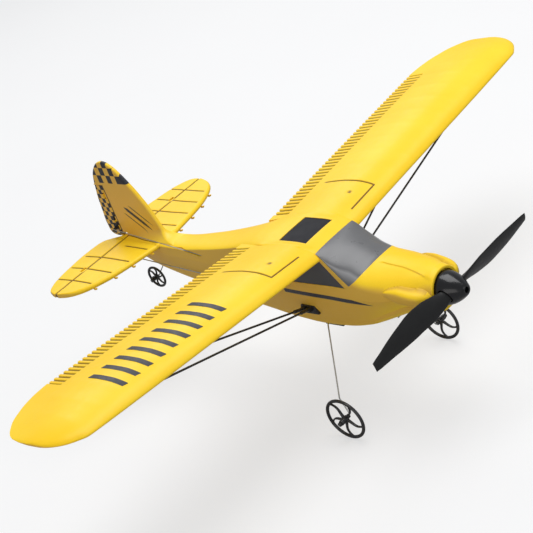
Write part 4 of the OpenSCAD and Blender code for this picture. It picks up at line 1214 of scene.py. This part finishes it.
def fin():
    low = np.concatenate([np.linspace(-13.4, 2, 22)[:-1], np.linspace(2, RUDDER_TOP, 26)])
    high = np.concatenate([np.linspace(RUDDER_TOP, 62, 14),
                           62 + 5.4 * np.sin(np.linspace(0, math.pi / 2, 10))[1:]])
    # painted shade along the rudder hinge line at the fin's rear edge
    main = plate("fin_low", low, fin_lead, lambda z: FIN_REAR, fin_half, columns=46,
                 upright=True, shade=lambda x, z: smooth_step(-278.9, -279.4, x), depth=0.3)
    tip = plate("fin_high", high, fin_lead, fin_trail, fin_half, columns=34, upright=True)
    cut(main, box(-300, -272.6, -10, 10, -30, -9.6))
    hinges = [soft_box(-284.2, -279, -1.4, 1.4, z - 2.9, z + 2.9, 0.9, 4)
              for z in RUDDER_HINGES_Z]
    return join("skin_fin", [main, tip] + hinges)


def rudder_half(x, z, front, rear):
    taper = 2.1 - 0.9 * np.clip((-285 - x) / 16, 0, 1)
    edges = edge_round(front - x + 0.02, 2.1) * edge_round(x - rear + 0.05, 1.4)
    return max(taper * edges * edge_round(z + 15.4, 1.6) * edge_round(42.2 - z, 0.8), 0.12)


def rudder():
    stations = np.unique(np.concatenate([np.linspace(-14.4, -12, 8), np.linspace(-12, 41.4, 34)]))
    # painted shade along the hinge line at the rudder's front edge
    ob = plate("skin_rudder", stations, lambda z: -280.9, rudder_trail, rudder_half,
               upright=True, shade=lambda x, z: smooth_step(-282.1, -281.5, x), depth=0.3)
    for z in RUDDER_HINGES_Z:
        cut(ob, box(-285.6, -277, -10, 10, z - 3.4, z + 3.4))
    smooth(ob, 42)
    return ob


place(stabilizer(), FOAM, "airframe", "foam_yellow", "stabilizer")
place(elevator(), FOAM, "elevator", "foam_yellow", "elevator")

fin_check_x, fin_check_z = (DATUM[0] - 255.5) * MM, (DATUM[2] + 45.0) * MM
FIN_FOAM = checked_foam("foam_fin_squares", x0=fin_check_x, z0=fin_check_z, width=0.0065,
                        height=0.00815, lowest=fin_check_z, black_ahead=fin_check_x)
RUDDER_FOAM = checked_foam("foam_rudder_squares", x0=(DATUM[0] - 252.3) * MM,
                           z0=(DATUM[2] + 41.6) * MM, width=0.0047, height=0.0049, lowest=-1.0)
place(fin(), FIN_FOAM, "airframe", "foam_yellow", "fin")
place(rudder(), RUDDER_FOAM, "rudder", "foam_yellow", "rudder")

# ---------------------------------------------------------------- propeller and spinner
# radius, chord, thickness, pitch in degrees, sweep
BLADE_STATIONS = [
    (5, 9, 6.2, 38, 0), (12, 11, 5, 36, 0), (22, 14.6, 3.8, 31, -.5), (36, 18.6, 2.8, 25, -1.6),
    (52, 19.2, 2.2, 20, -2.6), (68, 17, 1.8, 16.5, -2.3), (84, 13.3, 1.5, 14, -1.9),
    (96, 10, 1.3, 12.5, -1.2), (105, 8, 1, 12, -.9)]
blade_curves = [curve([(row[0], row[c]) for row in BLADE_STATIONS]) for c in range(1, 5)]
# (x, radius)
spinner_radius = curve([(97, 14.0), (98.6, 14.1), (102, 13.6), (105.5, 12.6), (109, 11),
                        (112.5, 8.9), (115.8, 6.4), (117.4, 5.0), (118.1, 4.2)])


def blade(flip):
    """One blade along +Y, or turned half round the shaft to -Y."""
    radii = np.concatenate([np.linspace(4, 100, 60),
                            100 + 5 * np.sin(np.linspace(0, math.pi / 2, 8))[1:]])
    n = 44
    points = []
    for r in radii:
        chord, thickness, pitch, sweep = (float(f(r)) for f in blade_curves)
        if r > 100:
            chord *= 1 - 0.10 * (r - 100) / 5
            thickness *= 1 - 0.35 * (r - 100) / 5
        # an oval root turns into a cambered section with a blunt nose and a thin tail
        foil = float(smooth_step(8, 24, r))
        sin_pitch, cos_pitch = math.sin(math.radians(pitch)), math.cos(math.radians(pitch))
        for i in range(n):
            a = 2 * math.pi * i / n
            c = math.cos(a)
            half = (thickness / 2) * (1 - 0.45 * foil * (c < 0) * abs(c))
            half *= 0.75 + 0.25 * (1 - foil)
            u = c * chord / 2 + sweep
            v = math.sin(a) * half + foil * 0.055 * chord * (1 - c * c)
            points.append((105.5 + u * sin_pitch + v * cos_pitch, r,
                           u * cos_pitch - v * sin_pitch))
    points = np.array(points)
    if flip:
        points[:, 1:] *= -1
    points[:, 2] += PROP_AXIS_Z
    return outward(fix_normals(new_mesh("blade", points, ring_faces(len(radii), n))))


def propeller():
    hub = lathe_x("hub", [(100.5, 1.55), (100.5, 5.9), (101.1, 6.5), (109.4, 6.5), (110, 5.9),
                          (110, 1.55)], 64, PROP_AXIS_Z, closed=True)
    ob = join("blades_propeller", [hub, blade(False), blade(True)])
    smooth(ob, 48)
    return ob


def blade_opening(side):
    """Oval cutter, set at the blade root's pitch, through one side of the spinner."""
    pitch = math.radians(37)
    n = 28
    points = []
    for y in (side * 4.0, side * 20.0):
        for i in range(n):
            a = 2 * math.pi * i / n
            u, w = math.cos(a) * 6.6, math.sin(a) * 4.0
            points.append((105.0 + u * math.sin(pitch) + w * math.cos(pitch), y,
                           PROP_AXIS_Z + side * (u * math.cos(pitch) - w * math.sin(pitch))))
    return outward(fix_normals(new_mesh("cut", points, ring_faces(2, n))))


def spinner():
    profile = [(97.0, 12.7), (97.0, 13.6), (97.25, 13.95)]
    profile += [(x, float(spinner_radius(x))) for x in np.linspace(97.6, 118.1, 44)]
    profile += [(118.3, 3.9), (118.3, 2.9), (117.9, 2.45), (112.2, 2.25), (112.0, 7.2)]
    profile += [(x, float(spinner_radius(x)) - 1.6) for x in np.linspace(111.4, 98.4, 12)]
    ob = lathe_x("nose_spinner", profile, 128, PROP_AXIS_Z, closed=True)
    for side in (1, -1):
        cut(ob, blade_opening(side))
    smooth(ob, 35)
    return ob


place(propeller(), PROP_NYLON, "propeller", "black_plastic", "propeller")
place(spinner(), GLOSS, "propeller", "black_gloss", "spinner")

# ---------------------------------------------------------------- wheels and collars
MAIN_WHEEL = dict(radius=19.7, spokes=5, hub_radius=2.4, hub_length=9, bore=0.66,
                  rim_half_width=1.45, rim_depth=2.5, first_spoke=0.98, spoke_width=0.95,
                  spoke_depth=0.95)
TAIL_WHEEL = dict(radius=11.6, spokes=6, hub_radius=1.7, hub_length=4.4, bore=0.56,
                  rim_half_width=1.15, rim_depth=2.1, first_spoke=0.35, spoke_width=0.7,
                  spoke_depth=0.8)


def spoke(centre, start_angle, inner, outer, width, depth):
    """Bowed web with a squarish section, wider at both ends."""
    radii = np.linspace(inner, outer, 22)
    n = 14
    points = []
    for r in radii:
        t = (r - inner) / (outer - inner)
        angle = start_angle - 0.24 * math.sin(t * math.pi) + 0.05 * t
        flare = 1 + 0.9 * (1 - t) ** 3 + 1.1 * max(0, (t - 0.80) / 0.20) ** 2
        half_width = width * flare * 0.8
        half_depth = depth * (1 + 0.35 * (1 - t))
        c, s = math.cos(angle), math.sin(angle)
        for i in range(n):
            a = 2 * math.pi * i / n
            p, q = (math.copysign(abs(f) ** 0.7, f) * half for f, half in
                    ((math.cos(a), half_width), (math.sin(a), half_depth)))
            points.append((centre[0] + r * c - p * s, centre[1] + q, centre[2] + r * s + p * c))
    return outward(fix_normals(new_mesh("spoke", points, ring_faces(len(radii), n))))


def wheel(name, centre, hub_shift, radius, spokes, hub_radius, hub_length, bore,
          rim_half_width, rim_depth, first_spoke, spoke_width, spoke_depth):
    """Thin moulded wheel: rounded rim, inner bead, long hub barrel and bowed spokes."""
    half_depth = rim_depth / 2
    rim = [(rim_half_width * math.cos(a), radius - half_depth + half_depth * math.sin(a))
           for a in np.linspace(0, 2 * math.pi, 25)[:-1]]
    bead = [(rim_half_width * 0.55 * math.cos(a), radius - rim_depth + 0.35 * math.sin(a))
            for a in np.linspace(0, 2 * math.pi, 13)[:-1]]
    low, high = hub_shift - hub_length / 2, hub_shift + hub_length / 2
    end, collar_radius = hub_radius * 0.86, hub_radius * 1.3
    hub = [(low, bore), (low, end), (low + 0.4, hub_radius), (-1.3, hub_radius),
           (-0.9, collar_radius), (0.9, collar_radius), (1.3, hub_radius),
           (high - 0.4, hub_radius), (high, end), (high, bore)]
    parts = [lathe_y("rim", rim, centre, 96, 60), lathe_y("bead", bead, centre, 96, 60),
             lathe_y("hub", hub, centre, 48)]
    parts += [spoke(centre, 2 * math.pi * k / spokes + first_spoke, hub_radius * 0.9,
                    radius - rim_depth * 0.8, spoke_width, spoke_depth) for k in range(spokes)]
    ob = join(name, parts)
    smooth(ob, 45)
    return ob


WHEEL_NYLON = plastic("wheel_nylon", dark=(0.013, 0.013, 0.014), light=(0.026, 0.026, 0.028),
                      rough=(0.3, 0.45), grain=420, coat=0.15)
for word, side in (("left", 1), ("right", -1)):
    ob = wheel("spoked_wheel_" + word, (MAIN_AXLE_X, side * MAIN_WHEEL_Y, MAIN_AXLE_Z),
               side * 1.8, **MAIN_WHEEL)
    place(ob, WHEEL_NYLON, word + "_wheel", "black_plastic", "wheel_" + word)
place(wheel("spoked_tail_wheel", (TAIL_AXLE_X, 0, TAIL_AXLE_Z), 0.0, **TAIL_WHEEL),
      WHEEL_NYLON, "tail_wheel", "black_plastic", "tail_wheel")


def collar(centre, length, bore, radius=1.9, edge=0.25):
    return lathe_y("collar", [(0, bore), (0, radius - edge), (edge, radius),
                              (length - edge, radius), (length, radius - edge), (length, bore)],
                   centre, 40)


COLLAR_LENGTH = 1.8
collars = []
for side in (-1, 1):
    for offset in (-4.9, 6.6):
        y = side * MAIN_WHEEL_Y + (offset if side > 0 else -offset - COLLAR_LENGTH)
        collars.append(collar((MAIN_AXLE_X, y, MAIN_AXLE_Z), COLLAR_LENGTH, 0.6))
place(join("collars_main", collars), BLACK, "airframe", "black_plastic", "wheel_collars")
place(collar((TAIL_AXLE_X, -7.6, TAIL_AXLE_Z), 5.0, 0.5), BLACK, "airframe",
      "black_plastic", "tail_collar")

# ---------------------------------------------------------------- gear wires and wing struts
# x of each strut's lower end, then its upper end on the left wing
STRUTS = [(-34, (-16, 222, 15.6)), (-40, (-58.8, 222, 16.2))]
STRUT_FOOT_Y = 28.4


def main_gear_wire(side):
    return tube("wire", bend_path([
        (-27, side * 1.2, -69), (-27, side * 20, -69), (2, side * 62, -110),
        (MAIN_AXLE_X, side * 64, MAIN_AXLE_Z), (MAIN_AXLE_X, side * 79.4, MAIN_AXLE_Z)],
        1.6), 0.6)


def strut_rod(side, foot_x, top):
    """Thin rod with a thicker sleeve at its lower end."""
    foot = np.array([foot_x, side * STRUT_FOOT_Y, -49.0])
    reach = np.array([top[0], side * top[1], top[2]]) - foot
    length = np.linalg.norm(reach)
    along = reach / length
    distances = [0, 9.6, 10.2, 10.8, *np.linspace(12, length - 0.01, 12)]
    return tube("rod", [foot + along * d for d in distances],
                [1.5, 1.5, 1.35, 0.9] + [0.9] * 12, 18)


def strut_bracket(side):
    """Parts of one body bracket: plate, two clevises with pins, two screws."""
    plate_outline = [(-47.2, -55.4), (-26.2, -55.4), (-29.2, -47.2), (-44.6, -47.2)]
    parts = [soft_prism(plate_outline, *sorted((side * 22.6, side * 25.6)), 0.6, 3)]
    for x, _ in STRUTS:
        ear_y = sorted((side * 24, side * 29.5))
        for offset in (-1.9, 1.1):
            parts.append(soft_box(x + offset, x + offset + 0.8, *ear_y, -51.6, -47.4, 0.3))
        block_y = sorted((side * 24, side * 27))
        parts.append(soft_box(x - 2.0, x + 2.0, *block_y, -51.2, -47.8, 0.4))
        pin = lathe_x("pin", [(x - 2.3, 0.75), (x + 2.3, 0.75)], 20)
        move_points(pin, lambda points: points + [0, side * STRUT_FOOT_Y, -49.2])
        parts.append(pin)
    screw = [(-0.5, 0.0), (-0.5, 1.1), (-0.1, 1.35), (0.35, 1.25), (0.45, 0.0)]
    for x in (-44.8, -28.9):
        parts.append(lathe_y("screw", screw, (x, side * 25.7, -53.2), 24, closed=False))
    return parts


def strut_socket(side, top):
    """Block with a wider flange above it, under the wing."""
    x, y, z = top[0], side * top[1], top[2]
    return [soft_box(x - 3, x + 3, y - 2, y + 2, z - 1.6, z + 1.5, 0.6),
            soft_box(x - 5, x + 5, y - 4, y + 4, z + 1.0, z + 2.8, 0.5)]


place(join("wire_main_gear", [main_gear_wire(side) for side in (-1, 1)]), STEEL, "airframe",
      "steel", "main_gear_wire")
tail_path = bend_path([(-240, 3.4, -38), (-247, 3.4, -46), (TAIL_AXLE_X, 3.4, TAIL_AXLE_Z),
                       (TAIL_AXLE_X, -7.8, TAIL_AXLE_Z)], 1.4)
place(tube("wire_tail_gear", tail_path, 0.5), STEEL, "airframe", "steel", "tail_gear_wire")
place(join("rods_strut", [strut_rod(side, *strut) for side in (-1, 1) for strut in STRUTS]),
      CARBON, "airframe", "black_plastic", "strut_rods")
brackets = join("brackets_strut", strut_bracket(-1) + strut_bracket(1))
smooth(brackets, 35)
place(brackets, BLACK, "airframe", "black_plastic", "strut_brackets")
place(join("sockets_strut", [part for side in (-1, 1) for _, top in STRUTS
                             for part in strut_socket(side, top)]),
      BLACK, "airframe", "black_plastic", "strut_sockets")

# ---------------------------------------------------------------- plain markings
BAR_FIRST_Y, BAR_PITCH, BAR_HALF_WIDTH, BAR_SLANT = 123.5, 13.4, 2.4, 0.25
# upper (x, z), lower (x, z), width
FIN_STRIPES = [((-261.5, 19.5), (-233.0, -3.6), 3.4), ((-254.0, 21.6), (-229.6, 1.4), 1.1),
               ((-264.6, 13.2), (-239.6, -6.8), 1.1)]


def decal(grid, thickness):
    """Film that sinks below its grid of surface points by the thickness vector."""
    grid = np.array(grid)
    return outward(slab("decal", grid, grid - thickness, 60))


def wing_bar(index):
    """Slanted bar across the right wing."""
    middle = -(BAR_FIRST_Y + BAR_PITCH * index)
    ys = np.linspace(middle - BAR_HALF_WIDTH, middle + BAR_HALF_WIDTH, 5)
    return decal([[(x + BAR_SLANT * (y - middle), y, wing_top(x, y) + 0.30) for y in ys]
                  for x in np.linspace(-52.0, -13.0, 40)], [0, 0, 0.5])


def body_side_y(x, z):
    section = half_section(x, 0, cheek=True)[CROWN_COUNT:-4]
    return float(np.interp(-z, -section[:, 2], section[:, 1]))


def side_stripe(side):
    """Stripe along the body that narrows ahead of x = 22."""
    rows = []
    for x in np.concatenate([np.linspace(-57, 22, 40), np.linspace(24, 42, 12)]):
        t = max(x - 22, 0) / 20
        rows.append([(x, side * (body_side_y(x, z) + 0.10), z)
                     for z in np.linspace(-31.3 - t * 4.2, -35.6 - t * 0.1, 6)])
    return decal(rows, [0, side * 0.4, 0])


def fin_stripe(side, upper, lower, width):
    """Slanted stripe, tapered at both ends."""
    upper = np.array(upper)
    length = np.linalg.norm(np.array(lower) - upper)
    along = (np.array(lower) - upper) / length
    across = np.array([-along[1], along[0]])
    rows = []
    for t in np.linspace(0, 1, 24):
        taper = min(1.0, t / 0.12 + 0.05, (1 - t) / 0.3 + 0.05)
        centre = upper + along * length * t
        row = []
        for u in (-1, -0.5, 0, 0.5, 1):
            x, z = centre + across * u * width / 2 * taper
            half = fin_half(x, centre[1], float(fin_lead(centre[1])), FIN_REAR)
            row.append((x, side * (half + 0.06), z))
        rows.append(row)
    return decal(rows, [0, side * 0.3, 0])


place(join("marking_wing_bars", [wing_bar(k) for k in range(9)]), INK, "airframe", "film_dark")
place(join("marking_side_stripe", [side_stripe(side) for side in (1, -1)]), STRIPE_INK,
      "airframe", "film_dark")
place(join("marking_fin_stripes", [fin_stripe(side, *stripe) for side in (1, -1)
                                   for stripe in FIN_STRIPES]),
      STRIPE_INK, "airframe", "film_dark")

# ---------------------------------------------------------------- horns and pushrods
HORN_BEVEL = 0.18


def arc(x, y, radius, start, end, n):
    return [(x + radius * math.cos(math.radians(a)), y + radius * math.sin(math.radians(a)))
            for a in np.linspace(start, end, n)]


def elevator_horn():
    """Upright plate under the elevator with three holes, on a foot."""
    outline = [(-280.6, -17.2), (-275.2, -17.2)] + arc(-275.5, -27.5, 1.5, 20, -200, 16)
    arm = soft_prism(outline, -12.8, -11.6, HORN_BEVEL, 2)
    for z in (-27.5, -24.6, -22.2):
        cut(arm, lathe_y("hole", [(-3, 0.0), (-3, 0.45), (3, 0.45), (3, 0.0)],
                         (-275.5, -12.2, z), 20, closed=False))
    foot = soft_box(-281.5, -275.0, -14.6, -9.8, -18.0, -17.1, 0.3)
    ob = join("horn_elevator", [arm, foot])
    sharpen(ob, 35)
    return ob


def rudder_horn():
    """Level plate on the rudder's right side with a square hole, a foot and two screws."""
    outline = [(-288.0, -1.9), (-282.9, -1.9), (-281.9, -9.2)]
    outline += arc(-283, -9.5, 1.5, 10, -180, 14) + [(-284.6, -8.6)]
    arm = soft_prism(outline, -4.6, -3.4, HORN_BEVEL, 2, axis="z")
    cut(arm, box(-283.45, -282.55, -9.95, -9.05, -6, -2))
    parts = [arm, soft_box(-289.6, -283.0, -2.6, -1.7, -7.6, -0.4, 0.3)]
    parts += [lathe_y("screw", [(-0.5, 0.0), (-0.5, 0.8), (0.2, 1.0), (0.2, 0.0)],
                      (-287.9, -2.6, z), 18, closed=False) for z in (-6.6, -1.8)]
    ob = join("horn_rudder", parts)
    sharpen(ob, 35)
    return ob


def pushrod(name, rear, front, hook, radius):
    """Straight wire with both ends bent over by the hook vector."""
    hook = np.array(hook)
    return tube(name, bend_path([rear + hook, rear, front, front + hook], 0.9), radius, 14)


place(elevator_horn(), BLACK, "elevator", "black_plastic", "elevator_horn")
place(rudder_horn(), BLACK, "rudder", "black_plastic", "rudder_horn")
place(pushrod("rod_elevator", ELEVATOR_HORN_END, ELEVATOR_SERVO_END, [0, 3.2, 0], 0.5),
      STEEL, "elevator_rod", "black_plastic", "elevator_pushrod")
place(pushrod("rod_rudder", RUDDER_HORN_END + [0, 0, 1.4], RUDDER_SERVO_END + [0, 0, 1.4],
              [0, 0, -3.2], 0.42),
      STEEL, "rudder_rod", "black_plastic", "rudder_pushrod")

# ---------------------------------------------------------------- CAD pieces
SLOT_MATERIALS = {
    "steel": STEEL, "black_plastic": BLACK, "white_plastic": WHITE, "board_green": BOARD,
    "cell_wrap": CELL_WRAP, "lead_red": RED_LEAD, "strap_fabric": STRAP, "plywood": WOOD,
    "brass": BRASS, "carbon": CARBON, "foam_yellow": FOAM, "film_grey": GREY_FILM,
    "film_dark": DARK_FILM, "black_gloss": GLOSS}
BEVEL_WIDTHS = {
    "battery": 1.2, "elevator_servo": 0.5, "rudder_servo": 0.5, "gear_plate": 0.5,
    "gearbox_frame": 0.3, "receiver_board": 0.15, "battery_strap": 0.3, "servo_tray": 0.25,
    "motor": 0.4, "spur_gear": 0.06, "motor_pinion": 0.05, "battery_lead": 0.2}
slot_of = {part["node"]: part["material_slot"] for part in frame["record"]["subparts"]}
for node_name, ob in frame["nodes"].items():
    ob.data.materials.clear()
    ob.data.materials.append(SLOT_MATERIALS[slot_of[node_name]])
    if node_name in BEVEL_WIDTHS:
        bevel = add_bevel(ob, BEVEL_WIDTHS[node_name], 2)
        bevel.limit_method = "ANGLE"
        bevel.angle_limit = math.radians(40)


# ---------------------------------------------------------------- floor, lights, camera
def floor_paper():
    """Paper that looks evenly lit but throws less light back than it shows."""
    shader = Shader("floor_paper")
    shader.surface(Base_Color=shader.mix(shader.noise(5), (0.86,) * 3, (0.90,) * 3),
                   Roughness=0.85)
    is_camera = shader.node("LightPath").outputs["Is Camera Ray"]
    glow = shader.node("Emission", Color=(0.95, 0.95, 0.955)).outputs[0]
    dim = shader.node("BsdfDiffuse", Color=(0.40, 0.40, 0.41)).outputs[0]
    seen = shader.mix_shader(0.62, shader.principled.outputs[0], glow)
    shader.feed(shader.output.inputs[0], shader.mix_shader(is_camera, dim, seen))
    return shader.material


def stage_floor(half_size=6.0, n=60, gap=0.0006):
    """Slightly uneven sheet just under the model; metres."""
    level = float(bounds_after_load[0][2]) - gap
    steps = np.linspace(-half_size, half_size, n)
    verts = [(x, y, level + 0.00004 * math.sin(x * 3.1) * math.cos(y * 2.7))
             for x in steps for y in steps]
    mesh = bpy.data.meshes.new("floor")
    mesh.from_pydata(verts, [], grid_faces(n, n))
    ob = add_object("floor", mesh)
    for polygon in mesh.polygons:
        polygon.use_smooth = True
    mesh.materials.append(floor_paper())


def area_light(name, location, size, watts, target=(0, 0, 0), colour=(1, 1, 1)):
    """Rectangular light aimed at target; metres."""
    light = bpy.data.lights.new(name, "AREA")
    light.shape = "RECTANGLE"
    light.size, light.size_y = size
    light.energy = watts
    light.color = colour
    ob = add_object(name, light)
    ob.location = location
    ob.rotation_euler = (Vector(target) - Vector(location)).to_track_quat("-Z", "Y").to_euler()
    ob.visible_camera = False


def set_world(colour, strength):
    world = bpy.data.worlds.new("studio")
    bpy.context.scene.world = world
    world.use_nodes = True
    background = world.node_tree.nodes["Background"]
    background.inputs[0].default_value = (*colour, 1)
    background.inputs[1].default_value = strength


def stage_camera(position, azimuth, elevation, roll, lens):
    """Position in millimetres from the datum, angles in degrees, lens in millimetres."""
    azimuth, elevation, roll = (math.radians(a) for a in (azimuth, elevation, roll))
    back = Vector((math.sin(azimuth) * math.cos(elevation),
                   -math.cos(azimuth) * math.cos(elevation), math.sin(elevation)))
    forward = -back
    right = forward.cross(Vector((0, 0, 1))).normalized()
    up = right.cross(forward)
    rolled_right = right * math.cos(roll) + up * math.sin(roll)
    rolled_up = -right * math.sin(roll) + up * math.cos(roll)
    camera = bpy.data.cameras.new("photo_camera")
    camera.sensor_width = 36
    camera.sensor_fit = "HORIZONTAL"
    camera.lens = lens
    camera.clip_start = 0.01
    camera.clip_end = 50
    ob = add_object("photo_camera", camera)
    rotation = Matrix((rolled_right, rolled_up, back)).transposed().to_4x4()
    ob.matrix_world = Matrix.Translation(Vector((np.array(position) + DATUM) * MM)) @ rotation
    bpy.context.scene.camera = ob


stage_floor()
set_world(colour=(0.92, 0.95, 1.0), strength=0.42)
area_light("key", location=(0.15, 0.45, 1.9), size=(1.5, 1.5), watts=29)
area_light("fill", location=(1.9, 0.1, 0.7), size=(1.0, 0.8), watts=3)
area_light("side", location=(0.7, -1.7, 0.35), size=(1.2, 1.0), watts=5,
           colour=(1.0, 0.96, 0.92))
area_light("rim", location=(-1.3, 0.9, 1.1), size=(0.8, 0.8), watts=5, target=(0, 0, 0.05))
view = bpy.context.scene.view_settings
view.view_transform = "Standard"
view.look = "None"
view.exposure = 0.0
view.gamma = 1.0
stage_camera(position=(779.987, -698.653, 532.063), azimuth=51.53969036,
             elevation=26.64543336, roll=-22.2147595, lens=97.3272047)
